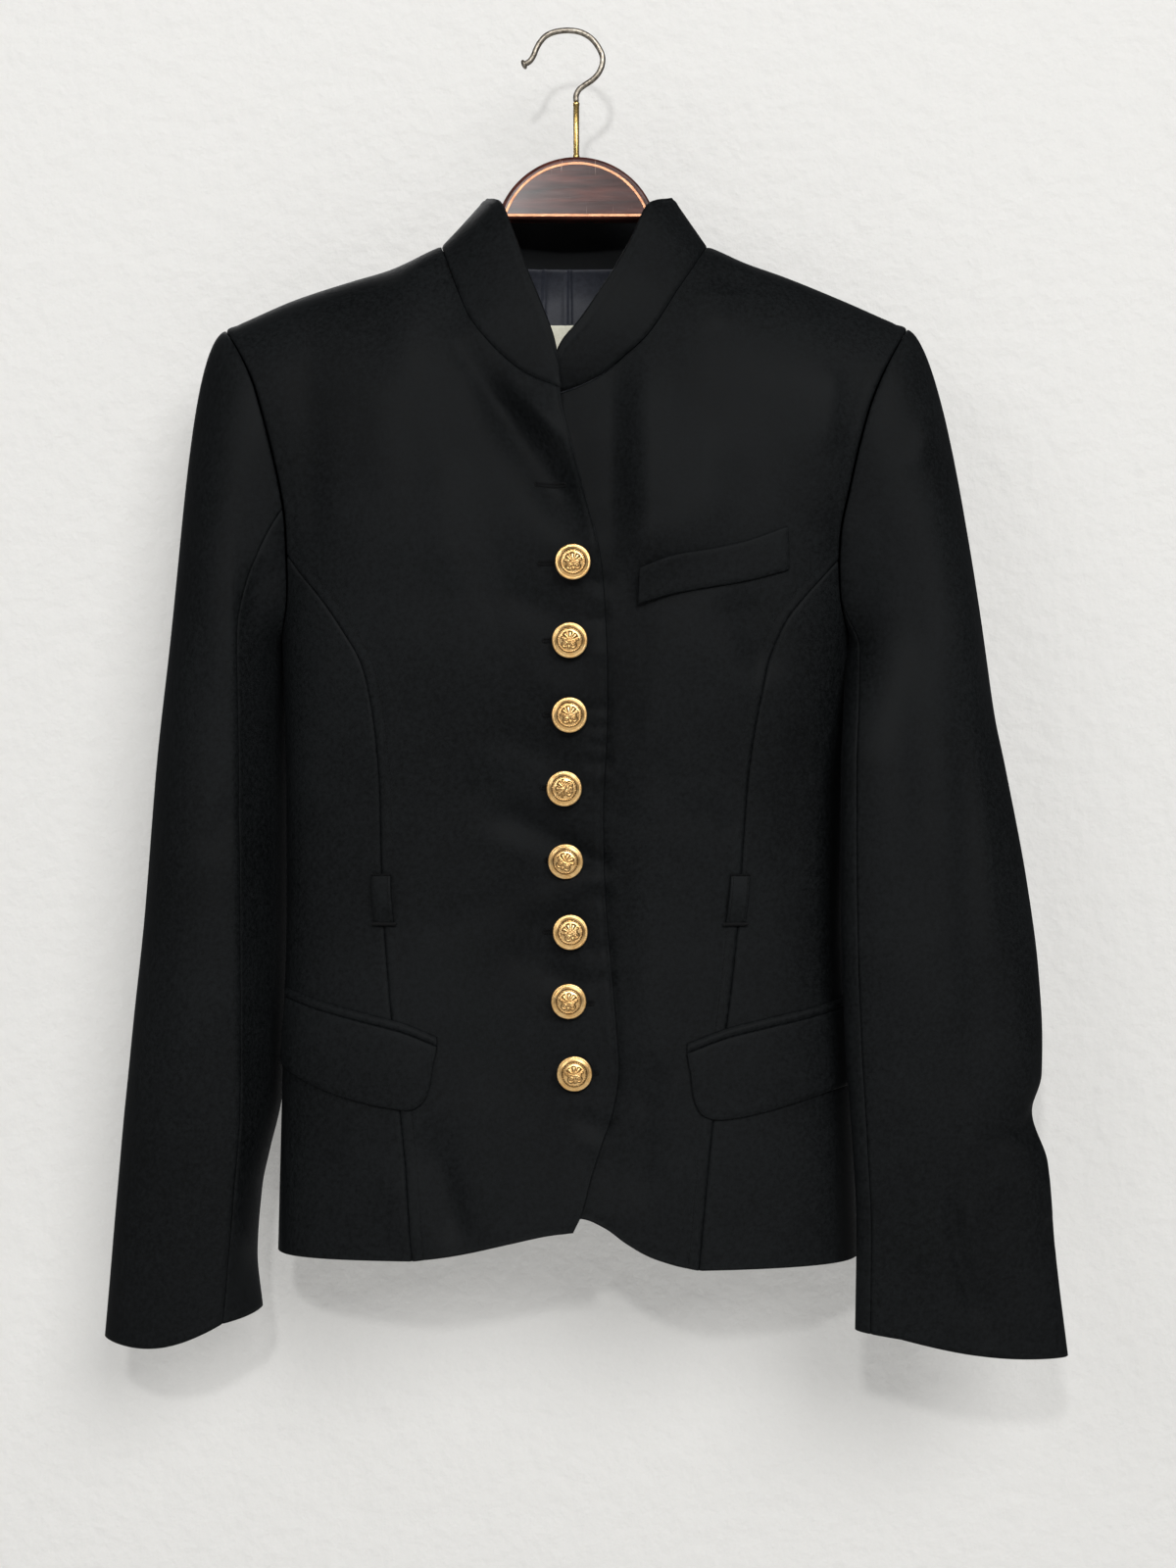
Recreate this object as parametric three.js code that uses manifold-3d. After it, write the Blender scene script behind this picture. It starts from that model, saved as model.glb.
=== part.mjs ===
// Military-style blazer hanging on its hanger.
//
// Millimetres, +Z up. The front faces -Y, so the wearer's right is at -X. The origin is the top of the
// hook's inner curve, where the peg carries the hanger.
//
// The body is one hollow form: at each height a superellipse with its own half widths and depths, which
// rolls over to a ridge along the shoulders. Every panel, flap, welt and loop is a patch of that form.
import * as THREE from 'three';
import { mergeVertices } from 'three/addons/utils/BufferGeometryUtils.js';
import Module from 'manifold-3d';

const wasm = await Module();
wasm.setup();

// ---- driving dimensions ----

const cloth = 2.0;            // wall of an interlined panel
const sleeveCloth = 1.6;      // wall of a sleeve
const seamInset = 0.2;        // each piece stops this far short of its seam line
const layerGap = 0.35;        // gap between pieces that lie on each other
const sectionPower = 2.5;     // superellipse of the body's section
const hemZ = { right: -742.5, left: -745 };   // height of the hem at the sides
const backHemZ = -734;                        // and at the centre of the back

// Half widths and depths of the body, top to bottom.
const bodySections = [
  { z: -60, right: 262, left: 262, front: 40, back: 33 },
  { z: -130, right: 262, left: 262, front: 45, back: 38 },
  { z: -200, right: 256, left: 256, front: 55, back: 45 },
  { z: -240, right: 223, left: 220, front: 60, back: 48 },
  { z: -280, right: 196, left: 191, front: 65, back: 50 },
  { z: -320, right: 181, left: 176, front: 68, back: 50 },
  { z: -360, right: 175, left: 171.5, front: 68, back: 49 },
  { z: -420, right: 173, left: 169, front: 64, back: 46 },
  { z: -480, right: 172, left: 167.5, front: 59, back: 42 },
  { z: -540, right: 172, left: 167, front: 56, back: 40 },
  { z: -600, right: 173.5, left: 170, front: 59, back: 43 },
  { z: -660, right: 175, left: 173.6, front: 63, back: 47 },
  { z: -760, right: 177.5, left: 177, front: 67, back: 51 },
];

// Height of the shoulder ridge by the distance from the centre, on each side.
const shoulderRidge = {
  right: [
    { x: 0, z: -107 }, { x: 78, z: -131.5 }, { x: 108, z: -145.4 }, { x: 132, z: -152.6 },
    { x: 168, z: -164.5 }, { x: 198, z: -177.6 }, { x: 209, z: -182.3 }, { x: 262, z: -206 },
  ],
  left: [
    { x: 0, z: -107 }, { x: 86, z: -132 }, { x: 108, z: -141.6 }, { x: 132, z: -150 },
    { x: 168, z: -164.5 }, { x: 198, z: -177.6 }, { x: 209, z: -182.0 }, { x: 262, z: -206 },
  ],
};
const shoulderRoll = { front: 90, back: 48 };   // height over which the ridge rolls into the panel

// Seam lines as [x, z]. The panels meet along them.
const frontEdge = {
  right: [[3, -720.6], [8, -710], [13.5, -690], [20, -670], [26, -652], [29.5, -630], [28, -600],
    [24.5, -560], [21.5, -520], [20.6, -473], [22.8, -424], [22.4, -374], [18.5, -326], [10.5, -293],
    [2, -262], [-3.5, -240], [-4.6, -229.5]],
  left: [[-4, -716], [-14, -690], [-21, -655], [-22, -600], [-21, -500], [-21, -400], [-19, -320],
    [-13, -260], [-9.5, -229]],
};
const hemEdge = {
  right: [[3, -720.6], [-12, -722.5], [-35, -727.5], [-64, -734], [-91, -738]],
  left: [[-4, -716], [8, -713], [22, -718.5], [34, -727], [47, -734.4], [62, -739.6], [77, -743]],
};
const princessSeam = {
  right: [[-91, -738], [-93.6, -701], [-98.2, -656], [-104, -598], [-108.6, -545], [-110.6, -500],
    [-111.5, -455], [-115.5, -416], [-122, -388], [-133, -369], [-146, -350.5], [-159, -335],
    [-168.4, -323]],
  left: [[77, -743], [80.4, -706], [85.3, -658], [93.3, -603], [100.3, -545], [103.5, -497],
    [107, -452], [112.7, -415], [120, -386], [129.5, -363], [140, -349.5], [150, -338.5], [161.6, -326]],
};
const armholeFront = {
  right: [[-168.4, -323], [-169.3, -300], [-172.2, -280], [-176.3, -260], [-181.4, -239.5],
    [-187.6, -219.6], [-196.5, -201.5], [-209, -182.3]],
  left: [[161.6, -326], [162.8, -307], [167.5, -284], [173.6, -256], [180.8, -231.6], [190, -210.5],
    [198.5, -195], [207, -181.2]],
};
const armholeUnder = {
  right: [[-168.4, -323], [-168.2, -338], [-168.7, -350], [-170.6, -360], [-172.8, -367]],
  left: [[161.6, -326], [162.1, -339], [163.4, -351], [166.2, -361], [168.7, -367]],
};
const armholeBack = {
  right: [[-172, -366], [-170, -352], [-169.5, -325], [-172, -290], [-178, -255], [-187, -222],
    [-198, -198], [-209, -182.3]],
  left: [[168.6, -366], [166.6, -352], [165, -325], [168, -290], [175, -255], [184, -222], [195, -198],
    [207, -181.2]],
};
const underarmZ = -371;
const neckFront = {
  right: [[-4.6, -229.5], [-23.5, -220], [-35, -211], [-47, -198.5], [-58, -183.5], [-66.5, -163.5],
    [-72.5, -147], [-77.8, -131.5]],
  left: [[-9.5, -229], [6, -223.5], [20.5, -216], [34.5, -204.6], [45.5, -194.5], [55, -181.5],
    [65, -165.5], [75, -150], [85.5, -131.9]],
};
const neckBack = {
  right: [[3, -139], [-12, -139], [-30, -138], [-48, -136.4], [-62, -134.4], [-77.8, -131.5]],
  left: [[3, -139], [20, -139.2], [38, -138.4], [55, -136.8], [70, -134.9], [85.5, -131.9]],
};
const centreBackX = 3;

// Top edge of the stand collar. Each row faces the neck seam at the share `at` of its half.
const collarTop = {
  right: [
    { at: 0, x: -3.9, y: -61, z: -214.5 }, { at: 0.16, x: -7.7, y: -59.5, z: -199.5 },
    { at: 0.36, x: -15.5, y: -56, z: -178.5 }, { at: 0.58, x: -24.5, y: -50, z: -156 },
    { at: 0.77, x: -33.5, y: -41, z: -131 }, { at: 0.9, x: -42.5, y: -24, z: -108.5 },
    { at: 1, x: -50, y: -3, z: -101.6 },
  ],
  left: [
    { at: 0, x: -8.5, y: -56, z: -213 }, { at: 0.14, x: -3, y: -56, z: -200.5 },
    { at: 0.3, x: 7.5, y: -55, z: -187.5 }, { at: 0.47, x: 18.6, y: -52, z: -170.4 },
    { at: 0.64, x: 29, y: -47, z: -153.5 }, { at: 0.79, x: 38.5, y: -38, z: -134.5 },
    { at: 0.9, x: 48.8, y: -24, z: -112 }, { at: 1, x: 61, y: -4, z: -99.8 },
  ],
  back: [
    { at: 0, x: -50, y: -3, z: -101.6 }, { at: 0.15, x: -52.5, y: 8, z: -103.2 },
    { at: 0.4, x: -39, y: 25, z: -104.5 }, { at: 0.7, x: -18, y: 34, z: -105.8 },
    { at: 1, x: 3, y: 37, z: -106.5 }, { at: 1.35, x: 28, y: 34.5, z: -105.5 },
    { at: 1.65, x: 51, y: 24.5, z: -103.5 }, { at: 1.87, x: 64, y: 9, z: -102 },
    { at: 2, x: 61, y: -4, z: -99.8 },
  ],
};
const collarWall = 2.6;
const collarBow = { sides: -5.5, ends: 1.2 };   // how far its middle stands out from a straight rise

// Grid counts that neighbouring pieces share.
const grid = {
  princess: 15, armholeFront: 7, armholeUnder: 7, armholeBack: 7,
  neckFront: 6, neckBack: 5, shoulder: 6, collar: 4, cap: 7,
};

// Sections of the sleeves: x of the outer side, of the front ridge and of the inner side; y of the outer
// side, of the inner side, of the ridge and of the back; how far the inner side is higher than the outer
// one; and how far the edge between them sags.
const sleeveSections = {
  right: [
    { z: -380, outer: -244, ridge: -204, inner: -177.5, outerY: 3, innerY: 8, frontY: -49, backY: 50 },
    { z: -450, outer: -251.6, ridge: -203, inner: -174.5, outerY: 3, innerY: 24, frontY: -46, backY: 52 },
    { z: -540, outer: -258.8, ridge: -202.5, inner: -173.5, outerY: 2, innerY: 28, frontY: -44, backY: 49 },
    { z: -600, outer: -265, ridge: -202.5, inner: -174.5, outerY: 0, innerY: 27, frontY: -42, backY: 46 },
    { z: -636, outer: -268.3, ridge: -202.5, inner: -176, outerY: -2, innerY: 22, frontY: -40, backY: 40 },
    { z: -665, outer: -271, ridge: -202.5, inner: -177.8, outerY: -4, innerY: 16, frontY: -39, backY: 35 },
    { z: -700, outer: -273.8, ridge: -203, inner: -184.6, outerY: -6, innerY: 8, frontY: -38, backY: 29 },
    { z: -720, outer: -275.2, ridge: -203.5, inner: -188.2, outerY: -8, innerY: 4, frontY: -38, backY: 25 },
    { z: -760, outer: -278, ridge: -207, inner: -190.5, outerY: -11, innerY: 0, frontY: -38, backY: 17 },
    { z: -793, outer: -280.6, ridge: -213, inner: -186.5, outerY: -13, innerY: -4, frontY: -38, backY: 11 },
  ],
  left: [
    { z: -380, outer: 254, ridge: 212, inner: 171, outerY: -4, innerY: -10, frontY: -52, backY: 45 },
    { z: -420, outer: 259, ridge: 213.5, inner: 165.5, outerY: -10, innerY: -38, frontY: -60, backY: 40 },
    { z: -450, outer: 264, ridge: 216, inner: 161.8, outerY: -17, innerY: -48, frontY: -66, backY: 34 },
    { z: -520, outer: 275.5, ridge: 221, inner: 161.2, outerY: -26, innerY: -48, frontY: -66, backY: 24 },
    { z: -570, outer: 281, ridge: 224, inner: 161.6, outerY: -31, innerY: -49, frontY: -66, backY: 16 },
    { z: -605, outer: 282.4, ridge: 225, inner: 162.8, outerY: -35, innerY: -50, frontY: -66, backY: 9 },
    { z: -632, outer: 281.5, ridge: 226, inner: 164, outerY: -38, innerY: -50, frontY: -66, backY: 3 },
    { z: -654, outer: 275.5, ridge: 226, inner: 165.5, outerY: -40, innerY: -51, frontY: -66, backY: -2 },
    { z: -684, outer: 284.3, ridge: 226, inner: 167.5, outerY: -43, innerY: -52, frontY: -66, backY: -11 },
    { z: -735, outer: 288, ridge: 228, inner: 169.8, outerY: -46, innerY: -52, frontY: -66, backY: -24 },
    { z: -796, outer: 294.8, ridge: 231, inner: 169, outerY: -49, innerY: -52, frontY: -65, backY: -34 },
  ],
};
const sleeveLevels = [-380, -405, -435, -470, -510, -550, -585, -612, -636, -656, -685, -720, -758];
const cuff = { right: { z: -793, rise: 15, sag: 8 }, left: { z: -796, rise: 16, sag: 3.5 } };
const sleeveRidgePower = 1.9;   // below 2, the front ridge of the sleeve is slightly pointed
const sleeveBackPower = 2.05;
const forearmSeam = { right: 0.3, left: 0.42 };   // share of the way round, from the crown by the front
const hindarmSeam = 0.8;
const crownReach = { right: 64, left: 60 };   // how strongly the sleeve leaves the crown sideways

// Folds: soft troughs (negative) and ridges (positive) across the cloth, from one place to another.
const folds = [
  { from: [-46, -229], to: [10, -303], width: 11, height: -4.5, side: 'front' },
  { from: [-38, -219], to: [-8, -258], width: 8, height: 3.2, side: 'front' },
  { from: [-74, -140], to: [-62, -192], width: 9, height: -2.6, side: 'front' },
  { from: [-62, -192], to: [-30, -246], width: 9, height: -2.2, side: 'front' },
  { from: [-154, -198], to: [-152, -318], width: 13, height: -2.6, side: 'front' },
  { from: [60, -186], to: [63, -306], width: 12, height: -2.2, side: 'front' },
  { from: [109, -352], to: [118, -398], width: 11, height: -1.8, side: 'front' },
  { from: [156, -214], to: [152, -262], width: 8, height: 2.2, side: 'front' },
  { from: [96, -152], to: [103, -166], width: 8, height: -2.4, side: 'front' },
  { from: [-78, -658], to: [-64, -730], width: 11, height: -2.4, side: 'front' },
  { from: [49, -628], to: [42, -706], width: 12, height: -2.2, side: 'front' },
  { from: [236, -420], to: [238, -620], width: 12, height: -3.0, side: 'front' },
  { from: [276, -650], to: [292, -664], width: 11, height: -4.0, side: 'front' },
  { from: [231, -712], to: [246, -786], width: 9, height: -2.4, side: 'front' },
  { from: [221, -232], to: [207, -258], width: 8, height: 2.0, side: 'front' },
  { from: [-62, -190], to: [-70, -330], width: 16, height: -2.4, side: 'back' },
  { from: [66, -200], to: [58, -345], width: 17, height: -2.6, side: 'back' },
  { from: [-96, -560], to: [-84, -700], width: 15, height: -2.2, side: 'back' },
  { from: [98, -570], to: [110, -715], width: 14, height: -2.4, side: 'back' },
];

// Pocket pieces, by their edges as [x, z].
const flapBottom = {
  right: [[-172, -627.5], [-161, -633.5], [-145, -640], [-123, -646.2], [-104, -649.6], [-92, -650.3],
    [-85, -646], [-81, -637], [-79, -625]],
  left: [[170, -639.6], [155, -642], [141, -645.6], [117, -651.6], [99, -655], [86, -655.6], [78.5, -652.6],
    [74.2, -645], [71.6, -629]],
};
const flapWeltTop = {
  right: [[-168.4, -582.5], [-145, -589], [-121, -594.6], [-96, -600.6], [-77, -608]],
  left: [[167.4, -588], [141.5, -593.2], [117.4, -597.8], [92, -603.6], [70, -611.6]],
};
const flapWeltDepth = 5.6;
const chestWelt = {
  top: [[41.6, -335], [61, -327.6], [84, -323], [104, -318], [128.6, -308.6]],
  bottom: [[41, -355], [62, -348.6], [85.5, -344.2], [107, -340], [129.4, -333.6]],
};
const beltLoops = {
  right: { x: -108, top: -513, bottom: -542, lean: -2 },
  left: { x: 98.5, top: -513, bottom: -542, lean: 3 },
};
const beltLoopWidth = 11;
const beltLoopArch = 2.4;      // how far the middle of a loop stands off the panel

// Inside the back neck: the lining that shows, and a bare label on it.
const neckLining = { halfWidth: 48, top: -142.5, bottom: -232, wall: 1.0, clear: 1.9 };
const neckLabel = { halfWidth: 25, top: -170.6, bottom: -192, wall: 0.6, clear: 0.35 };

// Buttons, top to bottom, by the centre of the face.
const buttons = [
  { x: 3.3, z: -331.6 }, { x: 1.4, z: -376.3 }, { x: 1.1, z: -419.5 }, { x: -1.9, z: -462.3 },
  { x: -1.0, z: -504.8 }, { x: 1.5, z: -546.7 }, { x: 0.7, z: -586.8 }, { x: 4.1, z: -628.7 },
];
const buttonRadius = 10.4;

// Hanger.
const hangerX = 5;
const hangerHead = { radius: 50, top: -77, flat: -115, flatHalf: 41, spread: 63 };
const hangerThickness = 12;
const hangerArm = { end: 186, height: 24, below: 2.9 };
const hookWire = 1.75;
const hookPath = [[-27.2, -19.1], [-23.8, -17.2], [-21.4, -13.8], [-19.9, -10], [-17.6, -5.8], [-13.9, -1.7],
  [-8.3, 0.8], [0, 1.75], [7.5, 0.6], [13.6, -2.8], [18.1, -8.1], [20.8, -14.2], [20.6, -19.2],
  [18.4, -24.4], [14.3, -28.8], [9.8, -31.8], [6.3, -34.8], [4.7, -38.4], [4.8, -42]];
const stemRadius = 1.8;
const hookButton = { radius: 3, half: 1.5 };   // the flattened bead on the tip of the hook

// ---- tables and curves ----

// A smooth value from a table's rows: a cubic through them that does not overshoot.
function lookUp(rows, key, column, at) {
  const down = rows[0][key] > rows[rows.length - 1][key];
  const position = (row) => (down ? -row[key] : row[key]);
  const target = down ? -at : at;
  const last = rows.length - 1;
  if (target <= position(rows[0])) return rows[0][column];
  if (target >= position(rows[last])) return rows[last][column];
  let k = 0;
  while (position(rows[k + 1]) < target) k += 1;
  const slope = (j) => (rows[j + 1][column] - rows[j][column]) / (position(rows[j + 1]) - position(rows[j]));
  const tangent = (j) => {
    if (j === 0 || j === last) return slope(j === 0 ? 0 : last - 1);
    const before = slope(j - 1);
    const after = slope(j);
    return before * after > 0 ? (2 * before * after) / (before + after) : 0;
  };
  const span = position(rows[k + 1]) - position(rows[k]);
  const t = (target - position(rows[k])) / span;
  const s = 1 - t;
  return rows[k][column] * s * s * (1 + 2 * t) + rows[k + 1][column] * t * t * (3 - 2 * t)
    + span * t * s * (s * tangent(k) - t * tangent(k + 1));
}

// A smooth curve through [x, z] points, as a function of the share of its length.
function through(points) {
  const curve = new THREE.CatmullRomCurve3(
    points.map(([x, z]) => new THREE.Vector3(x, 0, z)), false, 'centripetal');
  curve.arcLengthDivisions = 400;
  return (t) => {
    const p = curve.getPointAt(THREE.MathUtils.clamp(t, 0, 1));
    return { x: p.x, z: p.z };
  };
}

// Two curves end to end: the first takes `share` of the parameter.
function joined(first, second, share) {
  return (t) => (t <= share ? first(t / share) : second((t - share) / (1 - share)));
}

// ---- the form of the body ----

function sideOf(x) {
  return x < 0 ? 'right' : 'left';
}

function halfWidth(x, z) {
  return lookUp(bodySections, 'z', sideOf(x), z);
}

function ridgeHeight(x) {
  return lookUp(shoulderRidge[sideOf(x)], 'x', 'z', Math.abs(x));
}

// The angle round the section, from -1 at the right side seam to 1 at the left one, where x lies.
function girthOf(x, z) {
  return Math.asin(THREE.MathUtils.clamp(x / halfWidth(x, z), -1, 1)) / (Math.PI / 2);
}

// A point of the body's surface at a girth angle and a height, on its front or back face.
function bodyForm(face, girth, z) {
  const across = Math.sin(THREE.MathUtils.clamp(girth, -1, 1) * Math.PI / 2);
  const x = across * halfWidth(girth, z);
  const depth = lookUp(bodySections, 'z', face, z);
  const round = Math.pow(Math.max(0, 1 - Math.pow(Math.abs(across), sectionPower)), 1 / sectionPower);
  const below = THREE.MathUtils.clamp((ridgeHeight(x) - z) / shoulderRoll[face], 0, 1);
  const roll = Math.sqrt(1 - (1 - below) ** 2);
  return new THREE.Vector3(x, (face === 'front' ? -1 : 1) * depth * round * roll, z);
}

// The outward normal of the body, from its slopes along the girth and the height.
function bodyNormal(face, girth, z) {
  const stepGirth = 0.004;
  const stepZ = 0.6;
  const g0 = Math.max(-1, girth - stepGirth);
  const g1 = Math.min(1, girth + stepGirth);
  const alongGirth = bodyForm(face, g1, z).sub(bodyForm(face, g0, z));
  const top = Math.min(z + stepZ, ridgeHeight(bodyForm(face, girth, z).x));
  const alongZ = bodyForm(face, girth, top).sub(bodyForm(face, girth, z - stepZ));
  const normal = alongGirth.cross(alongZ).normalize();
  if (face === 'back') normal.negate();
  const atRidge = ridgeHeight(bodyForm(face, girth, z).x) - z < 0.05;
  if (atRidge || Math.abs(girth) > 0.999) normal.y = 0;
  return normal.normalize();
}

// Height of all folds at a place of the front or the back.
function foldHeight(side, x, z) {
  let sum = 0;
  for (const fold of folds) {
    if (fold.side !== side) continue;
    const [ax, az] = fold.from;
    const dx = fold.to[0] - ax;
    const dz = fold.to[1] - az;
    const along = THREE.MathUtils.clamp(((x - ax) * dx + (z - az) * dz) / (dx * dx + dz * dz), 0, 1);
    const away = Math.hypot(x - ax - along * dx, z - az - along * dz) / fold.width;
    sum += fold.height * Math.exp(-away * away);
  }
  return sum;
}

// A point of the dressed body: the form with its folds, moved out by `lift`.
function onBody(face, girth, z, lift, foldShare = () => 1) {
  const point = bodyForm(face, girth, z);
  const normal = bodyNormal(face, girth, z);
  const sideward = 1 - Math.abs(normal.y);
  const folded = foldHeight(face, point.x, z) * (1 - sideward * sideward);
  const height = folded * foldShare(point.x) + lift;
  return { point: point.addScaledVector(normal, height), normal };
}

// ---- walls ----

// A closed wall from a grid of outer points and their normals. Rows may join into a tube.
function wall(points, normals, thickness) {
  const rows = points.length;
  const columns = points[0].length;
  const positions = [];
  for (const sheet of [0, 1]) {
    for (let i = 0; i < rows; i += 1) {
      for (let j = 0; j < columns; j += 1) {
        const p = points[i][j].clone().addScaledVector(normals[i][j], -sheet * thickness);
        positions.push(p.x, p.y, p.z);
      }
    }
  }
  const outer = (i, j) => i * columns + j;
  const inner = (i, j) => (rows + i) * columns + j;
  const index = [];
  const quad = (a, b, c, d) => index.push(a, b, c, a, c, d);
  for (let i = 0; i < rows - 1; i += 1) {
    for (let j = 0; j < columns - 1; j += 1) {
      quad(outer(i, j), outer(i, j + 1), outer(i + 1, j + 1), outer(i + 1, j));
      quad(inner(i, j), inner(i + 1, j), inner(i + 1, j + 1), inner(i, j + 1));
    }
    quad(outer(i, 0), outer(i + 1, 0), inner(i + 1, 0), inner(i, 0));
    quad(outer(i + 1, columns - 1), outer(i, columns - 1), inner(i, columns - 1), inner(i + 1, columns - 1));
  }
  for (let j = 0; j < columns - 1; j += 1) {
    quad(outer(0, j + 1), outer(0, j), inner(0, j), inner(0, j + 1));
    quad(outer(rows - 1, j), outer(rows - 1, j + 1), inner(rows - 1, j + 1), inner(rows - 1, j));
  }
  return facingOut(positions, index);
}

// A geometry with its faces pointing out, whichever way its grid ran.
function facingOut(positions, index) {
  let volume = 0;
  const vertex = (k) => new THREE.Vector3().fromArray(positions, 3 * k);
  for (let k = 0; k < index.length; k += 3) {
    volume += vertex(index[k]).dot(vertex(index[k + 1]).cross(vertex(index[k + 2])));
  }
  const faces = volume > 0 ? index : index.map((v, k) => index[k - (k % 3) + 2 - (k % 3)]);
  const geometry = new THREE.BufferGeometry();
  geometry.setAttribute('position', new THREE.Float32BufferAttribute(positions, 3));
  geometry.setIndex(faces);
  return geometry;
}

// Draws the rim of a grid in, along its surface, so that neighbours stay apart.
function insetRim(points, amounts) {
  const rows = points.length;
  const columns = points[0].length;
  const moved = points.map((row) => row.map((p) => p.clone()));
  const shift = (i, j, towardI, towardJ, amount) => {
    const step = points[towardI][towardJ].clone().sub(points[i][j]).normalize();
    moved[i][j].addScaledVector(step, amount);
  };
  for (let j = 0; j < columns; j += 1) {
    shift(0, j, 1, j, amounts.bottom);
    shift(rows - 1, j, rows - 2, j, amounts.top);
  }
  for (let i = 0; i < rows; i += 1) {
    shift(i, 0, i, 1, amounts.start);
    shift(i, columns - 1, i, columns - 2, amounts.end);
  }
  return moved;
}

// Even shares of a patch's height, with one more row close under the shoulder ridge.
function rowShares(rows, ridge) {
  const shares = Array.from({ length: rows + 1 }, (_, i) => i / rows);
  if (ridge) shares.splice(rows, 0, 1 - 0.3 / rows);
  return shares;
}

// A patch between four seam lines, blended from them in girth and height (a Coons patch).
function patchPlaces(sides, columns, shares) {
  const place = ({ x, z }) => ({ g: girthOf(x, z), z });
  const corner = {
    a: place(sides.bottom(0)), b: place(sides.bottom(1)), c: place(sides.top(0)), d: place(sides.top(1)),
  };
  const blend = (u, v, part) => {
    const alongRows = (1 - v) * place(sides.bottom(u))[part] + v * place(sides.top(u))[part];
    const alongColumns = (1 - u) * place(sides.start(v))[part] + u * place(sides.end(v))[part];
    const corners = (1 - v) * ((1 - u) * corner.a[part] + u * corner.b[part])
      + v * ((1 - u) * corner.c[part] + u * corner.d[part]);
    return alongRows + alongColumns - corners;
  };
  return shares.map((v) => Array.from({ length: columns + 1 }, (_, j) => (
    { g: blend(j / columns, v, 'g'), z: blend(j / columns, v, 'z') })));
}

// A panel of cloth on the body, between its seam lines. `liftAt` moves it out or in.
function bodyPanel(face, sides, columns, shares, options = {}) {
  const { thickness = cloth, liftAt = () => 0, foldShare, inset = {} } = options;
  const rim = { bottom: seamInset, top: seamInset, start: seamInset, end: seamInset, ...inset };
  const spots = patchPlaces(sides, columns, shares).map((row) => row.map(({ g, z }) => {
    const { x } = bodyForm(face, g, z);
    return onBody(face, g, z, liftAt(x, z), foldShare);
  }));
  const normals = spots.map((row) => row.map((spot) => spot.normal));
  const points = insetRim(spots.map((row) => row.map((spot) => spot.point)), rim);
  return { geometry: wall(points, normals, thickness), spots };
}

// ---- seam lines shared by the panels of one side ----

function seamsOf(side) {
  const sign = side === 'right' ? -1 : 1;
  const sideX = (z) => sign * lookUp(bodySections, 'z', side, z);
  const sideSeam = (t) => {
    const z = THREE.MathUtils.lerp(hemZ[side], underarmZ, t);
    return { x: sideX(z), z };
  };
  const underarm = [sideX(underarmZ), underarmZ];
  const shoulder = (t) => {
    const x = THREE.MathUtils.lerp(neckFront[side].at(-1)[0], armholeFront[side].at(-1)[0], t);
    return { x, z: ridgeHeight(x) };
  };
  const onRidge = (points) => [...points.slice(0, -1), [points.at(-1)[0], ridgeHeight(points.at(-1)[0])]];
  return {
    frontEdge: through(frontEdge[side]),
    hem: through(hemEdge[side]),
    princess: through(princessSeam[side]),
    sideHem: (t) => {
      const start = princessSeam[side][0];
      return { x: THREE.MathUtils.lerp(start[0], sideX(hemZ[side]), Math.sin(t * Math.PI / 2) ** 0.8),
        z: THREE.MathUtils.lerp(start[1], hemZ[side], t) };
    },
    sideSeam,
    armholeFront: through(onRidge(armholeFront[side])),
    armholeUnder: through([...armholeUnder[side], underarm]),
    armholeBack: through(onRidge([underarm, ...armholeBack[side]])),
    neckFront: through(onRidge(neckFront[side])),
    neckBack: through(onRidge(neckBack[side])),
    shoulder,
    centreBack: (t) => ({ x: centreBackX, z: THREE.MathUtils.lerp(backHemZ, neckBack[side][0][1], t) }),
    backHem: (t) => {
      const z = THREE.MathUtils.lerp(backHemZ, hemZ[side], THREE.MathUtils.smoothstep(t, 0, 1));
      const across = THREE.MathUtils.lerp(girthOf(centreBackX, z), sign, t);
      return { x: Math.sin(across * Math.PI / 2) * Math.abs(sideX(z)), z };
    },
  };
}
const seams = { right: seamsOf('right'), left: seamsOf('left') };

// ---- body panels ----

// The left front passes under the right one, so it lies one layer in near the centre.
// Above the first button the fronts part, and it falls back further.
const underlap = cloth + 1.1;
const fallBack = 4.5;
function underFrontLift(x, z) {
  const covered = 1 - THREE.MathUtils.smoothstep(x, 34, 66);
  return -covered * (underlap + fallBack * THREE.MathUtils.smoothstep(z, -325, -285));
}

function frontPanel(side) {
  const line = seams[side];
  const rows = grid.princess + grid.armholeFront;
  const columns = grid.neckFront + grid.shoulder;
  const sides = {
    bottom: line.hem,
    start: line.frontEdge,
    end: joined(line.princess, line.armholeFront, grid.princess / rows),
    top: joined(line.neckFront, line.shoulder, grid.neckFront / columns),
  };
  const inset = { start: 0, bottom: 0 };
  const shares = rowShares(rows, true);
  if (side === 'right') return bodyPanel('front', sides, columns, shares, { inset });
  const foldShare = (x) => THREE.MathUtils.smoothstep(x, 24, 50);
  return bodyPanel('front', sides, columns, shares, { inset, foldShare, liftAt: underFrontLift });
}

function sideFrontPanel(side) {
  const line = seams[side];
  const sides = {
    bottom: line.sideHem, start: line.princess, end: line.sideSeam, top: line.armholeUnder,
  };
  const shares = rowShares(grid.princess, false);
  return bodyPanel('front', sides, grid.armholeUnder, shares, { inset: { bottom: 0 } });
}

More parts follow.
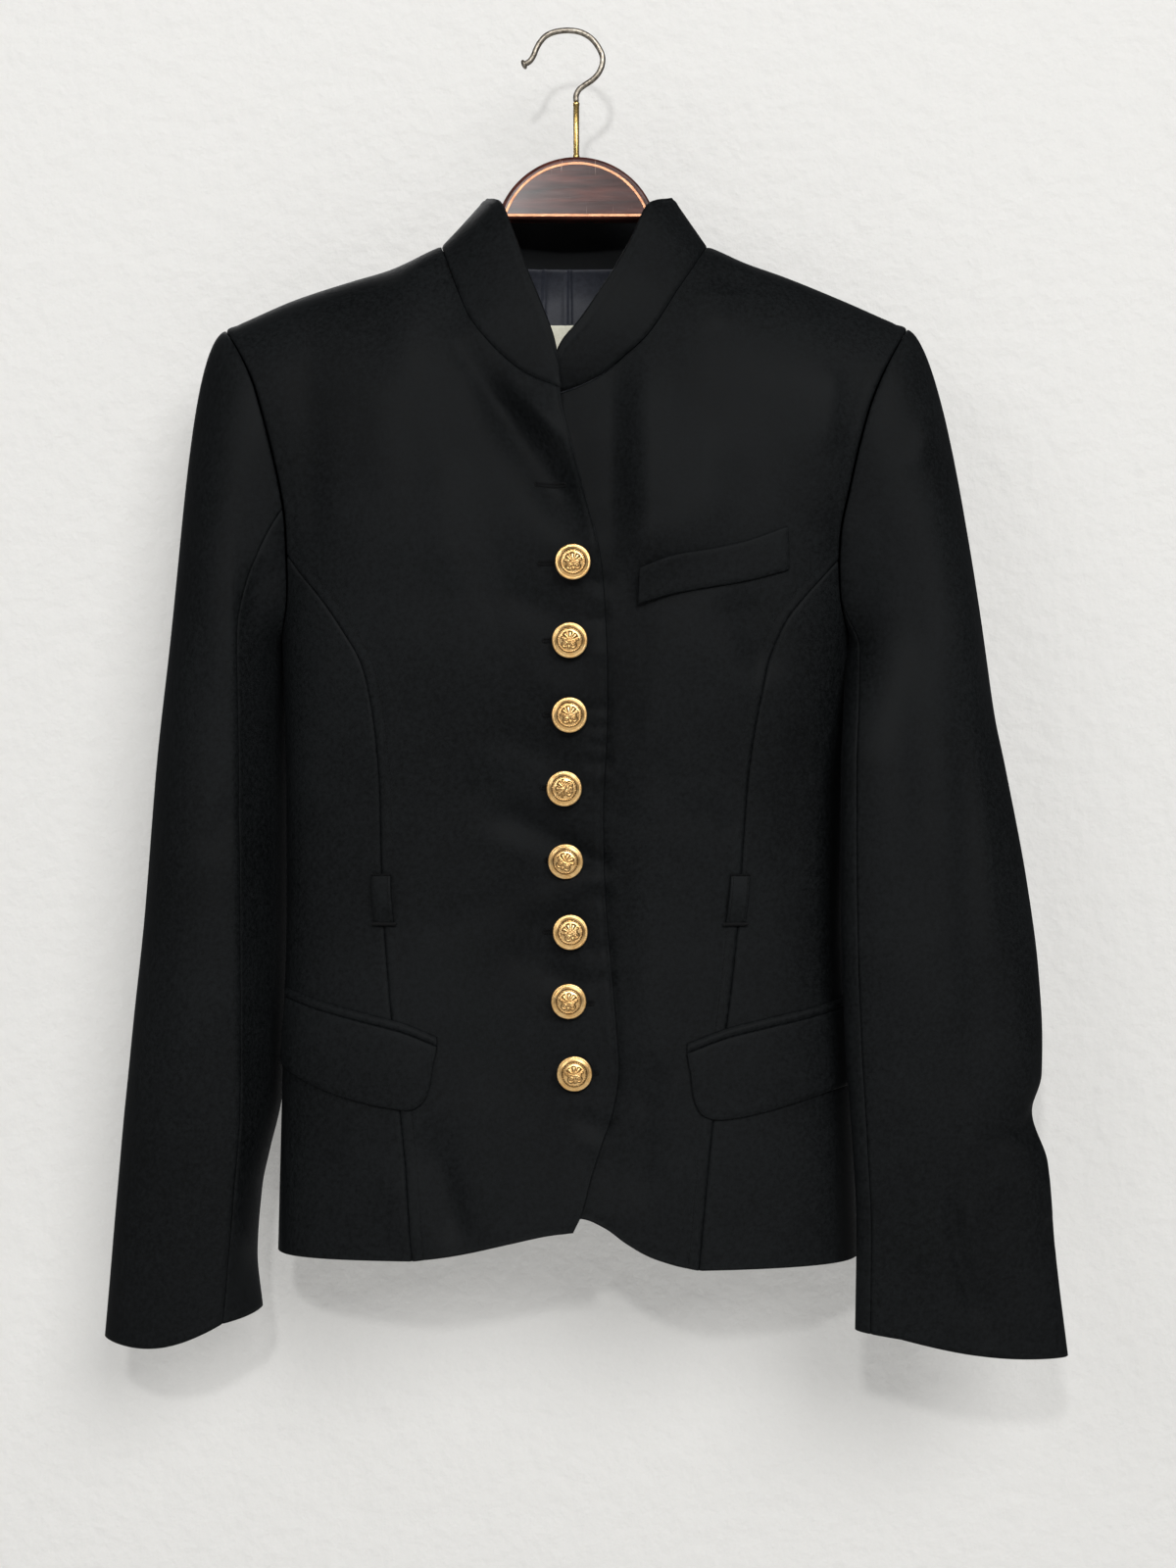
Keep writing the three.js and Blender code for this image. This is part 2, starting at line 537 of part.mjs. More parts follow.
function backPanel(side) {
  const line = seams[side];
  const rows = grid.princess + grid.armholeBack;
  const columns = grid.neckBack + grid.shoulder;
  const sides = {
    bottom: line.backHem,
    start: line.centreBack,
    end: joined(line.sideSeam, line.armholeBack, grid.princess / rows),
    top: joined(line.neckBack, line.shoulder, grid.neckBack / columns),
  };
  return bodyPanel('back', sides, columns, rowShares(rows, true), { inset: { bottom: 0 } });
}

// ---- sleeves ----

// Armhole points from the shoulder tip down the front, under the arm and up the back.
function armholeRing(front, sideFront, back) {
  const top = front.spots.length - 1;
  const ring = [];
  for (let i = top; i >= grid.princess; i -= 1) ring.push(front.spots[i].at(-1));
  ring.push(...sideFront.spots.at(-1).slice(1));
  const backTop = back.spots.length - 1;
  for (let i = grid.princess + 1; i < backTop; i += 1) ring.push(back.spots[i].at(-1));
  return ring.map((spot) => spot.point.clone());
}

// A point of a sleeve's section: w goes round from the outer side through the front ridge. The section
// tilts and sags more and more towards the cuff.
function sleeveSection(side, w, z) {
  const value = (column) => lookUp(sleeveSections[side], 'z', column, z);
  const cos = Math.cos(w * Math.PI * 2);
  const sin = Math.sin(w * Math.PI * 2);
  const power = 2 / (sin >= 0 ? sleeveRidgePower : sleeveBackPower);
  const ridge = value('ridge');
  const x = ridge + (cos >= 0 ? value('outer') - ridge : ridge - value('inner'))
    * Math.sign(cos) * Math.pow(Math.abs(cos), power);
  const share = (x - value('outer')) / (value('inner') - value('outer'));
  const ridgeShare = (ridge - value('outer')) / (value('inner') - value('outer'));
  const midline = (at) => THREE.MathUtils.lerp(value('outerY'), value('innerY'), at);
  const reach = value(sin >= 0 ? 'frontY' : 'backY') - midline(ridgeShare);
  const y = midline(share) + reach * Math.pow(Math.abs(sin), power);
  const { z: cuffZ, rise, sag } = cuff[side];
  const low = THREE.MathUtils.smoothstep(-z, -sleeveLevels[0], -cuffZ);
  const tilt = rise * share - sag * Math.sin(Math.PI * THREE.MathUtils.clamp(share / 0.8, 0, 1));
  return new THREE.Vector3(x, y, z + low * tilt);
}

// The whole sleeve as rings of points: the cap from the armhole, then the sections down to the cuff.
function sleeveRings(side, ring) {
  const sign = side === 'right' ? -1 : 1;
  const underIndex = grid.armholeFront + 1 + grid.armholeUnder;
  const lengths = [0];
  for (let j = 1; j <= ring.length; j += 1) {
    lengths.push(lengths[j - 1] + ring[j % ring.length].distanceTo(ring[j - 1]));
  }
  const turns = ring.map((_, j) => (j <= underIndex
    ? 0.5 * lengths[j] / lengths[underIndex]
    : 0.5 + 0.5 * (lengths[j] - lengths[underIndex]) / (lengths[ring.length] - lengths[underIndex])));
  const biceps = sleeveLevels[0];
  const tipZ = ring[0].z;
  const rings = [];
  for (let i = 0; i < grid.cap; i += 1) {
    const t = Math.pow(i / grid.cap, 1.25);
    rings.push(ring.map((start, j) => {
      const end = sleeveSection(side, turns[j], biceps);
      const high = (start.z - underarmZ) / (tipZ - underarmZ);
      const distance = start.distanceTo(end);
      const out = new THREE.Vector3(sign * (0.2 + 0.8 * high), start.y / 110, -(1.05 - 0.85 * high));
      out.normalize().multiplyScalar(Math.min(crownReach[side], 0.9 * distance));
      const down = sleeveSection(side, turns[j], biceps - 10).sub(end).multiplyScalar(distance / 10);
      const s = 1 - t;
      return start.clone().multiplyScalar(s * s * (1 + 2 * t))
        .addScaledVector(end, t * t * (3 - 2 * t))
        .addScaledVector(out, t * s * s)
        .addScaledVector(down, -t * t * s);
    }));
  }
  for (const z of [...sleeveLevels, cuff[side].z]) {
    rings.push(turns.map((w) => sleeveSection(side, w, z)));
  }
  return { rings, turns };
}

// Normals of a tube of rings, from the neighbours round and along it.
function ringNormals(rings) {
  const count = rings[0].length;
  const last = rings.length - 1;
  return rings.map((ring, i) => ring.map((_, j) => {
    const round = ring[(j + 1) % count].clone().sub(ring[(j + count - 1) % count]);
    const along = rings[Math.min(i + 1, last)][j].clone().sub(rings[Math.max(i - 1, 0)][j]);
    return round.cross(along).normalize();
  }));
}

function sleevePieces(side, ring) {
  const { rings, turns } = sleeveRings(side, ring);
  const normals = ringNormals(rings);
  const outward = normals[rings.length >> 1][0].x * (side === 'right' ? -1 : 1) > 0 ? 1 : -1;
  for (const row of normals) row.forEach((n) => n.multiplyScalar(outward));
  rings.forEach((row, i) => row.forEach((p, j) => {
    const face = normals[i][j].y < 0 ? 'front' : 'back';
    p.addScaledVector(normals[i][j], i === 0 ? 0 : foldHeight(face, p.x, p.z) * Math.abs(normals[i][j].y));
  }));
  const nearest = (share) => turns.reduce((best, w, j) =>
    (Math.abs(w - share) < Math.abs(turns[best] - share) ? j : best), 0);
  const fore = nearest(forearmSeam[side]);
  const hind = nearest(hindarmSeam);
  const count = turns.length;
  const columnsFrom = (from, to) => {
    const list = [];
    for (let j = from; j !== to; j = (j + 1) % count) list.push(j);
    return [...list, to];
  };
  const strip = (list) => {
    const points = rings.map((row) => list.map((j) => row[j]));
    const rim = { bottom: layerGap + 0.15, top: 0, start: seamInset, end: seamInset };
    return wall(insetRim(points, rim), normals.map((row) => list.map((j) => row[j])), sleeveCloth);
  };
  return { top: strip(columnsFrom(hind, fore)), under: strip(columnsFrom(fore, hind)) };
}

// ---- collar ----

// Neck points from the right front, round the back, to the left front, with the facing top edge.
function collarRows(panels) {
  const topRow = (panel, count) => panel.spots.at(-1).slice(0, count + 1).map((spot) => spot.point);
  const rightFront = topRow(panels.frontRight, grid.neckFront);
  const rightBack = topRow(panels.backRight, grid.neckBack).reverse();
  const leftBack = topRow(panels.backLeft, grid.neckBack);
  const leftFront = topRow(panels.frontLeft, grid.neckFront).reverse();
  const seam = [...rightFront, ...rightBack.slice(1), ...leftBack.slice(1), ...leftFront.slice(1)];
  const edge = (rows, at) => new THREE.Vector3(
    lookUp(rows, 'at', 'x', at), lookUp(rows, 'at', 'y', at), lookUp(rows, 'at', 'z', at));
  const top = [];
  for (let j = 0; j <= grid.neckFront; j += 1) top.push(edge(collarTop.right, j / grid.neckFront));
  for (let j = 1; j <= 2 * grid.neckBack; j += 1) top.push(edge(collarTop.back, j / grid.neckBack));
  for (let j = grid.neckFront - 1; j >= 0; j -= 1) top.push(edge(collarTop.left, j / grid.neckFront));
  return { seam, top };
}

function collarGeometry(panels) {
  const { seam, top } = collarRows(panels);
  const rings = [];
  for (let i = 0; i <= grid.collar; i += 1) {
    const t = i / grid.collar;
    rings.push(seam.map((base, j) => {
      const away = new THREE.Vector3(base.x - 4, base.y, 0).normalize();
      const bow = THREE.MathUtils.lerp(collarBow.ends, collarBow.sides, away.x ** 4);
      return base.clone().lerp(top[j], t).addScaledVector(away, bow * Math.sin(Math.PI * t));
    }));
  }
  const normals = rings.map((ring, i) => ring.map((_, j) => {
    const round = ring[Math.min(j + 1, ring.length - 1)].clone().sub(ring[Math.max(j - 1, 0)]);
    const along = rings[Math.min(i + 1, grid.collar)][j].clone().sub(rings[Math.max(i - 1, 0)][j]);
    const normal = round.cross(along).normalize();
    const outward = new THREE.Vector3(ring[j].x - 4, ring[j].y, 0).dot(normal) > 0;
    return outward ? normal : normal.negate();
  }));
  return wall(insetRim(rings, { bottom: layerGap + 0.2, top: 0, start: 0, end: 0 }), normals, collarWall);
}

// ---- pieces that lie on the panels ----

// A small piece on a face, between a top and a bottom edge, moved out from the panel's points.
function applied(topEdge, bottomEdge, columns, rows, thickness, liftAt, face = 'front') {
  const upper = through(topEdge);
  const lower = through(bottomEdge);
  const spots = [];
  for (let i = 0; i <= rows; i += 1) {
    spots.push([]);
    for (let j = 0; j <= columns; j += 1) {
      const a = lower(j / columns);
      const b = upper(j / columns);
      const x = THREE.MathUtils.lerp(a.x, b.x, i / rows);
      const z = THREE.MathUtils.lerp(a.z, b.z, i / rows);
      const lift = liftAt(j / columns, i / rows) + thickness;
      spots[i].push(onBody(face, girthOf(x, z), z, lift));
    }
  }
  const points = spots.map((row) => row.map((spot) => spot.point));
  return wall(points, spots.map((row) => row.map((spot) => spot.normal)), thickness);
}

function beltLoop({ x, top, bottom, lean }) {
  const half = beltLoopWidth / 2;
  return applied([[x - half + lean, top], [x + half + lean, top]], [[x - half, bottom], [x + half, bottom]],
    2, 8, 1.4, (u, v) => layerGap + beltLoopArch * Math.sin(Math.PI * v));
}

// A rectangle of cloth on the inside of the back, `depth` under its outer face.
function insideBack({ halfWidth: half, top, bottom, wall: thickness }, depth, columns, rows) {
  const edge = (z) => [[centreBackX - half, z], [centreBackX, z], [centreBackX + half, z]];
  return applied(edge(top), edge(bottom), columns, rows, thickness, () => -depth - thickness, 'back');
}

// ---- buttons ----

// A shank button turned round its own axis: ring at the back, cup, rolled rim and domed face.
function buttonGeometry() {
  const r = buttonRadius;
  const profile = [[0, 0], [2.6, 0], [2.2, 2.6], [r - 2.2, 3.2], [r - 0.3, 4.4], [r, 5.2], [r - 0.9, 6.1],
    [r - 2.1, 5.9], [r - 4.6, 7.4], [r - 7.4, 8.3], [0, 8.6]];
  return new THREE.LatheGeometry(profile.map(([x, y]) => new THREE.Vector2(x, y)), 16);
}

// ---- hanger ----

function hangerWood() {
  const { radius, top, flat, flatHalf, spread } = hangerHead;
  const middle = top - radius;
  const spreadAngle = THREE.MathUtils.degToRad(spread);
  const headX = radius * Math.sin(spreadAngle);
  const headZ = middle + radius * Math.cos(spreadAngle);
  const topOf = (x) => ridgeHeight(x) - cloth / Math.cos(0.37) - hangerArm.below;
  const armTop = (sign) => [102, 130, 158, hangerArm.end].map((x) => [sign * x, topOf(sign * x)]);
  const armBottom = (sign) => [hangerArm.end - 6, 150, 118, 92].map((x) =>
    [sign * x, topOf(sign * x) - hangerArm.height]);
  const neck = (sign) => [[hangerX + sign * (headX + 7), headZ - 14],
    [hangerX + sign * (headX + 19), headZ - 25], [sign * 82, ridgeHeight(sign * 82) - cloth - 7.4]];
  const head = [];
  const arcSteps = 16;
  for (let k = 0; k <= arcSteps; k += 1) {
    const angle = spreadAngle * (1 - 2 * k / arcSteps);
    head.push([hangerX + radius * Math.sin(angle), middle + radius * Math.cos(angle)]);
  }
  const outline = [
    [hangerX + flatHalf, flat], [70, flat - 23], ...armBottom(1).reverse(), ...armTop(1).reverse(),
    ...neck(1).reverse(), ...head,
    ...neck(-1), ...armTop(-1), ...armBottom(-1), [-62, flat - 23], [hangerX - flatHalf, flat],
  ];
  const shape = new THREE.Shape(outline.map(([x, z]) => new THREE.Vector2(x, z)));
  const bevel = 1.6;
  const geometry = new THREE.ExtrudeGeometry(shape, {
    depth: hangerThickness - 2 * bevel, bevelEnabled: true, bevelThickness: bevel, bevelSize: bevel,
    bevelOffset: -bevel, bevelSegments: 2, curveSegments: 1,
  });
  geometry.translate(0, 0, -hangerThickness / 2 + bevel);
  geometry.rotateX(Math.PI / 2);
  return geometry;
}

function hangerHook() {
  const path = new THREE.CatmullRomCurve3(
    hookPath.map(([x, z]) => new THREE.Vector3(x, 0, z)), false, 'centripetal');
  const sides = 10;
  const ring = [];
  for (let k = 0; k < sides; k += 1) {
    const angle = (2 * Math.PI * k) / sides;
    ring.push(new THREE.Vector2(hookWire * Math.cos(angle), hookWire * Math.sin(angle)));
  }
  const wire = new THREE.ExtrudeGeometry(new THREE.Shape(ring), { steps: 40, extrudePath: path });
  const bead = new THREE.SphereGeometry(hookButton.radius, 14, 10);
  bead.scale(hookButton.half / hookButton.radius, 1, 1);
  bead.rotateY(-Math.atan2(hookPath[1][1] - hookPath[0][1], hookPath[1][0] - hookPath[0][0]));
  bead.translate(hookPath[0][0], 0, hookPath[0][1]);
  return fused(wire, bead);
}

function asSolid(geometry) {
  const bare = geometry.clone();
  bare.deleteAttribute('normal');
  bare.deleteAttribute('uv');
  const merged = mergeVertices(bare, 1e-3);
  return new wasm.Manifold(new wasm.Mesh({
    numProp: 3,
    vertProperties: new Float32Array(merged.attributes.position.array),
    triVerts: new Uint32Array(merged.index.array),
  }));
}

function fused(a, b) {
  const mesh = asSolid(a).add(asSolid(b)).getMesh();
  const geometry = new THREE.BufferGeometry();
  geometry.setAttribute('position', new THREE.Float32BufferAttribute(mesh.vertProperties, 3));
  geometry.setIndex(Array.from(mesh.triVerts));
  return geometry;
}

// ---- materials and assembly ----

const finishes = {
  cloth: { color: 0x16171a, roughness: 0.82, metalness: 0 },
  lining: { color: 0x20222e, roughness: 0.45, metalness: 0 },
  label: { color: 0xd9cfb8, roughness: 0.8, metalness: 0 },
  button: { color: 0xc79a58, roughness: 0.32, metalness: 1 },
  wood: { color: 0x4a2a26, roughness: 0.4, metalness: 0 },
  brass: { color: 0xb8924a, roughness: 0.3, metalness: 1 },
  steel: { color: 0x8f8776, roughness: 0.45, metalness: 1 },
};

const blazer = new THREE.Group();
function add(name, geometry, finish) {
  const mesh = new THREE.Mesh(geometry, new THREE.MeshStandardMaterial(finishes[finish]));
  mesh.name = name;
  blazer.add(mesh);
  return mesh;
}

const panels = {
  frontRight: frontPanel('right'), frontLeft: frontPanel('left'),
  sideFrontRight: sideFrontPanel('right'), sideFrontLeft: sideFrontPanel('left'),
  backRight: backPanel('right'), backLeft: backPanel('left'),
};
add('front_right', panels.frontRight.geometry, 'cloth');
add('front_left', panels.frontLeft.geometry, 'cloth');
add('side_front_right', panels.sideFrontRight.geometry, 'cloth');
add('side_front_left', panels.sideFrontLeft.geometry, 'cloth');
add('back_right', panels.backRight.geometry, 'cloth');
add('back_left', panels.backLeft.geometry, 'cloth');

const sleeves = {
  right: sleevePieces('right', armholeRing(panels.frontRight, panels.sideFrontRight, panels.backRight)),
  left: sleevePieces('left', armholeRing(panels.frontLeft, panels.sideFrontLeft, panels.backLeft)),
};
for (const side of ['right', 'left']) {
  add(`sleeve_${side}_top`, sleeves[side].top, 'cloth');
  add(`sleeve_${side}_under`, sleeves[side].under, 'cloth');
}

add('collar', collarGeometry(panels), 'cloth');

const flapWall = 1.8;
const flapLift = (u) => layerGap + 0.9 * (1 - u);
for (const side of ['right', 'left']) {
  const below = (drop) => flapWeltTop[side].map(([x, z]) => [x, z - drop]);
  add(`pocket_flap_${side}`, applied(below(flapWeltDepth + layerGap), flapBottom[side], 12, 5, flapWall,
    flapLift), 'cloth');
  add(`flap_welt_${side}`, applied(flapWeltTop[side], below(flapWeltDepth), 12, 1, 1.2, flapLift), 'cloth');
  add(`belt_loop_${side}`, beltLoop(beltLoops[side]), 'cloth');
}
add('chest_welt', applied(chestWelt.top, chestWelt.bottom, 10, 2, 1.6, () => layerGap + 0.7), 'cloth');

const liningDepth = cloth + neckLining.clear;
add('neck_lining', insideBack(neckLining, liningDepth, 8, 7), 'lining');
add('neck_label', insideBack(neckLabel, liningDepth + neckLining.wall + neckLabel.clear, 6, 2), 'label');

buttons.forEach(({ x, z }, k) => {
  const { point } = onBody('front', girthOf(x, z), z, 0);
  const button = add(`button_${k + 1}`, buttonGeometry(), 'button');
  button.rotation.x = Math.PI;
  button.position.set(x, point.y - layerGap, z);
});

add('hanger_wood', hangerWood(), 'wood');
const stemTop = hookPath.at(-1)[1] - layerGap;
const stemBottom = hangerHead.top + layerGap;
const stem = add('hanger_stem',
  new THREE.CylinderGeometry(stemRadius, stemRadius, stemTop - stemBottom, 16), 'brass');
stem.rotation.x = Math.PI / 2;
stem.position.set(hookPath.at(-1)[0], 0, (stemTop + stemBottom) / 2);
add('hanger_hook', hangerHook(), 'steel');

export default blazer;
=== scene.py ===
import math
import bpy
import numpy as np
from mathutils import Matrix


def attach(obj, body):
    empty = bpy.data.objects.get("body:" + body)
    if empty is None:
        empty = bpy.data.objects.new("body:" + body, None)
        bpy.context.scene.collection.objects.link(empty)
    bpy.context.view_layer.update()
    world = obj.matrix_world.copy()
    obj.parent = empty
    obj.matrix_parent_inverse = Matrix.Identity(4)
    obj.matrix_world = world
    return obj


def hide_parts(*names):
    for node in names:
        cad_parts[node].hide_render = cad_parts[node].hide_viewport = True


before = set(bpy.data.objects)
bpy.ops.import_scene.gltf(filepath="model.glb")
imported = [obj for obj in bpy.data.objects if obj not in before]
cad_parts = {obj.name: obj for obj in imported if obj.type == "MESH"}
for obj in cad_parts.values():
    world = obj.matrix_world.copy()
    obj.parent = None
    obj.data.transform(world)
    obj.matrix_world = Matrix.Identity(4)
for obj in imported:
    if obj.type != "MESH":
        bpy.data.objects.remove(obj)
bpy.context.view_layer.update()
scene = bpy.context.scene
scene.view_settings.view_transform = "Standard"
print("frame loaded,", len(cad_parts), "nodes")

# the camera stands straight in front, level with the middle of the jacket
cameraLook = {"place": (0.012, -1.3, -0.4596), "sensor": 36, "lens": 48.75, "farthest": 50}
camera = bpy.data.objects.new("camera", bpy.data.cameras.new("camera"))
camera.location = cameraLook["place"]
camera.rotation_euler = (math.pi / 2, 0, 0)
camera.data.sensor_width = cameraLook["sensor"]
camera.data.lens = cameraLook["lens"]
camera.data.clip_end = cameraLook["farthest"]
scene.collection.objects.link(camera)
scene.camera = camera

# All shapes are worked out in millimetres and made into meshes in metres.
# The front faces -Y, the wearer's right is -X, z = 0 is the top of the hook.


# value by position through a table's rows: a cubic on each span, whose slope at a row is
# the harmonic mean of the slopes on both sides, and zero at a turning point
def smoothTable(rows, key, column):
    place = np.array([row[key] for row in rows], float)
    value = np.array([row[column] for row in rows], float)
    if place[0] > place[-1]:
        place, value = place[::-1], value[::-1]
    step = np.diff(place)
    slope = np.diff(value) / step
    before, after = slope[:-1], slope[1:]
    same = before * after > 0
    middle = np.where(same, 2 * before * after / np.where(same, before + after, 1), 0)
    tangent = np.concatenate([slope[:1], middle, slope[-1:]])

    def at(x):
        x = np.clip(x, place[0], place[-1])
        k = np.clip(np.searchsorted(place, x, side="right") - 1, 0, len(step) - 1)
        t = (x - place[k]) / step[k]
        s = 1 - t
        ends = value[k] * s * s * (1 + 2 * t) + value[k + 1] * t * t * (3 - 2 * t)
        return ends + step[k] * t * s * (s * tangent[k] - t * tangent[k + 1])
    return at


# the distance run along a line of points, 0 at the first of them
def runAlong(line):
    return np.concatenate([[0], np.cumsum(np.linalg.norm(np.diff(line, axis=0), axis=1))])


# smooth curve through points of any dimension, by the share of its length: a Catmull-Rom
# spline whose knots are spaced by the square root of the distance between points
def through(points):
    p = np.array(points, float)
    p = np.vstack([2 * p[0] - p[1], p, 2 * p[-1] - p[-2]])
    gap = np.maximum(np.sqrt(np.linalg.norm(np.diff(p, axis=0), axis=1)), 1e-3)[:, None]
    a, b, c, d = p[:-3], p[1:-2], p[2:-1], p[3:]
    ga, gb, gc = gap[:-2], gap[1:-1], gap[2:]
    leave = ((b - a) / ga - (c - a) / (ga + gb) + (c - b) / gb) * gb
    arrive = ((c - b) / gb - (d - b) / (gb + gc) + (d - c) / gc) * gb
    t = np.linspace(0, 1, 41)[:-1][None, :, None]
    b, c, leave, arrive = (v[:, None, :] for v in (b, c, leave, arrive))
    line = b + leave * t + (3 * (c - b) - 2 * leave - arrive) * t**2
    line = line + (2 * (b - c) + leave + arrive) * t**3
    line = np.vstack([line.reshape(-1, p.shape[1]), p[-2]])
    run = runAlong(line)

    def at(share):
        length = np.clip(share, 0, 1) * run[-1]
        return np.stack([np.interp(length, run, line[:, k]) for k in range(p.shape[1])], -1)
    at.length = run[-1]
    return at


# two curves end to end, where the first takes a given share of the parameter
def joined(first, second, share):
    def at(t):
        t = np.asarray(t, float)[..., None]
        return np.where(t <= share, first((t / share)[..., 0]),
                        second(((t - share) / (1 - share))[..., 0]))
    return at


# 0 up to low, 1 from high on, and a cubic ease between them
def smoothStep(x, low, high):
    t = np.clip((x - low) / (high - low), 0, 1)
    return t * t * (3 - 2 * t)


# shares from 0 to 1 in even steps of about `step` mm over `length` mm, with closer lines at both
# ends where the cloth turns into its edge
def gridLines(length, step):
    close = np.array([0.45, 1.0, 1.8]) / length
    even = np.linspace(0, 1, max(4, int(length / step)) + 1)[1:-1]
    even = even[(even > close[-1] * 1.3) & (even < 1 - close[-1] * 1.3)]
    return np.concatenate([[0], close, even, 1 - close[::-1], [1]])


# how far each point of a grid lies from its four edges, along the grid's own lines
def edgeDistance(points):
    down = np.linalg.norm(np.diff(points, axis=0), axis=2)
    across = np.linalg.norm(np.diff(points, axis=1), axis=2)
    fromTop = np.vstack([np.zeros((1, points.shape[1])), np.cumsum(down, 0)])
    fromStart = np.hstack([np.zeros((points.shape[0], 1)), np.cumsum(across, 1)])
    return {"first": fromTop, "last": fromTop[-1:] - fromTop,
            "start": fromStart, "end": fromStart[:, -1:] - fromStart}


# vectors divided by their own lengths
def unit(v):
    return v / np.maximum(np.linalg.norm(v, axis=-1, keepdims=True), 1e-9)


# normals of a grid: the cross product of the central differences along its two directions
def gridNormals(points):
    return unit(np.cross(np.gradient(points, axis=1), np.gradient(points, axis=0)))


# a mesh from vertices in millimetres, which rides the frame's root and may stand for a node
def addPiece(name, vertices, faces, material, node=None, uv=None, smooth=True):
    mesh = bpy.data.meshes.new(name)
    mesh.from_pydata((np.asarray(vertices) / 1000).tolist(), [], faces)
    mesh.polygons.foreach_set("use_smooth", np.full(len(mesh.polygons), smooth))
    if uv is not None:
        layer = mesh.uv_layers.new(name="cut")
        corner = np.empty(len(mesh.loops), int)
        mesh.loops.foreach_get("vertex_index", corner)
        layer.data.foreach_set("uv", np.asarray(uv, float)[corner].ravel())
    mesh.materials.append(material)
    mesh.update()
    piece = bpy.data.objects.new(name, mesh)
    scene.collection.objects.link(piece)
    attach(piece, "root")
    if node:
        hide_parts(node)
    return piece


# vertex numbers of a grid, row after row
def numbered(grid):
    return np.arange(grid.shape[0] * grid.shape[1]).reshape(grid.shape[:2])


# quads between neighbouring lines of vertex numbers
def quadsOf(grid, closed=False):
    if closed:
        grid = np.hstack([grid, grid[:, :1]])
    return np.stack([grid[:-1, :-1], grid[:-1, 1:], grid[1:, 1:], grid[1:, :-1]], -1).reshape(-1, 4)


# triangles that close a tube, from its first and last ring to the two vertices after its own
def poleFans(grid):
    ends = enumerate((grid[0], grid[-1][::-1]))
    return [np.stack([np.full(len(ring), grid.size + k), np.roll(ring, -1), ring], -1)
            for k, ring in ends]


# one list of faces, all turned over if the volume inside the quads would be negative
def facingOut(vertices, quads, *others):
    a, b, c, d = (vertices[quads[:, k]] for k in range(4))
    volume = np.einsum("ij,ij->i", a, np.cross(b, c) + np.cross(c, d)).sum()
    turn = 1 if volume > 0 else -1
    return [face for faces in (quads, *others) for face in faces[:, ::turn].tolist()]


# a closed wall of cloth: the outer grid, the same grid moved in along the normals by the
# thickness, and a rim that bulges out by a share of the thickness between them
def clothWall(points, normals, thickness, bulge=0.3):
    inner = points - normals * thickness
    number = numbered(points)
    loop = np.concatenate([number[0, :-1], number[:-1, -1], number[-1, :0:-1], number[:0:-1, 0]])
    away = np.zeros_like(points)
    away[0] += unit(points[0] - points[1])
    away[-1] += unit(points[-1] - points[-2])
    away[:, 0] += unit(points[:, 0] - points[:, 1])
    away[:, -1] += unit(points[:, -1] - points[:, -2])
    flat = points.reshape(-1, 3)
    under = inner.reshape(-1, 3)
    rim = (flat[loop] + under[loop]) / 2 + unit(away.reshape(-1, 3)[loop]) * thickness * bulge
    vertices = np.vstack([flat, under, rim])
    rimNumber = 2 * number.size + np.arange(len(loop))
    sheet = quadsOf(number)
    edge = quadsOf(np.stack([loop, rimNumber, loop + number.size]), closed=True)
    quads = np.vstack([sheet, sheet[:, ::-1] + number.size, edge[:, ::-1]])
    return vertices, facingOut(vertices, quads), loop


# the cut's own measures for the weave: the run along each row, and the mean run along the columns
def cutMeasures(points, fromStart):
    down = np.linalg.norm(np.diff(points, axis=0), axis=2).mean(1)
    v = np.concatenate([[0], np.cumsum(down)])
    return np.stack([fromStart, np.broadcast_to(v[:, None], fromStart.shape)], -1)


# one value for each edge of a grid: its first and last row, its first and last column
def perEdge(first, last, start, end):
    return {"first": first, "last": last, "start": start, "end": end}


def clothPiece(name, grid, cut, slot="black_cloth", node=None):
    points, normals = grid
    node = node or "".join("_" + letter.lower() if letter.isupper() else letter for letter in name)
    reach = {**perEdge(0.2, 0.2, 0.2, 0.2), **cut.get("inset", {})}
    sink = {**perEdge(0.8, 0.8, 0.8, 0.8), **cut.get("sink", {})}
    away = edgeDistance(points)
    moved = points.copy()
    for edge, depth in sink.items():
        moved -= normals * (depth * np.exp(-(away[edge] / cut.get("roll", 0.9)) ** 2))[..., None]
    for edge, place, width, height in cut.get("rolls", []):
        moved += normals * (height * np.exp(-((away[edge] - place) / width) ** 2))[..., None]
    moved[0] += unit(points[1] - points[0]) * reach["first"]
    moved[-1] += unit(points[-2] - points[-1]) * reach["last"]
    moved[:, 0] += unit(points[:, 1] - points[:, 0]) * reach["start"]
    moved[:, -1] += unit(points[:, -2] - points[:, -1]) * reach["end"]
    vertices, faces, loop = clothWall(moved, normals, cut["thickness"])
    measures = cutMeasures(points, away["start"]).reshape(-1, 2)
    piece = addPiece(name, vertices, faces, clothOf[slot], node,
                     np.vstack([measures, measures, measures[loop]]))


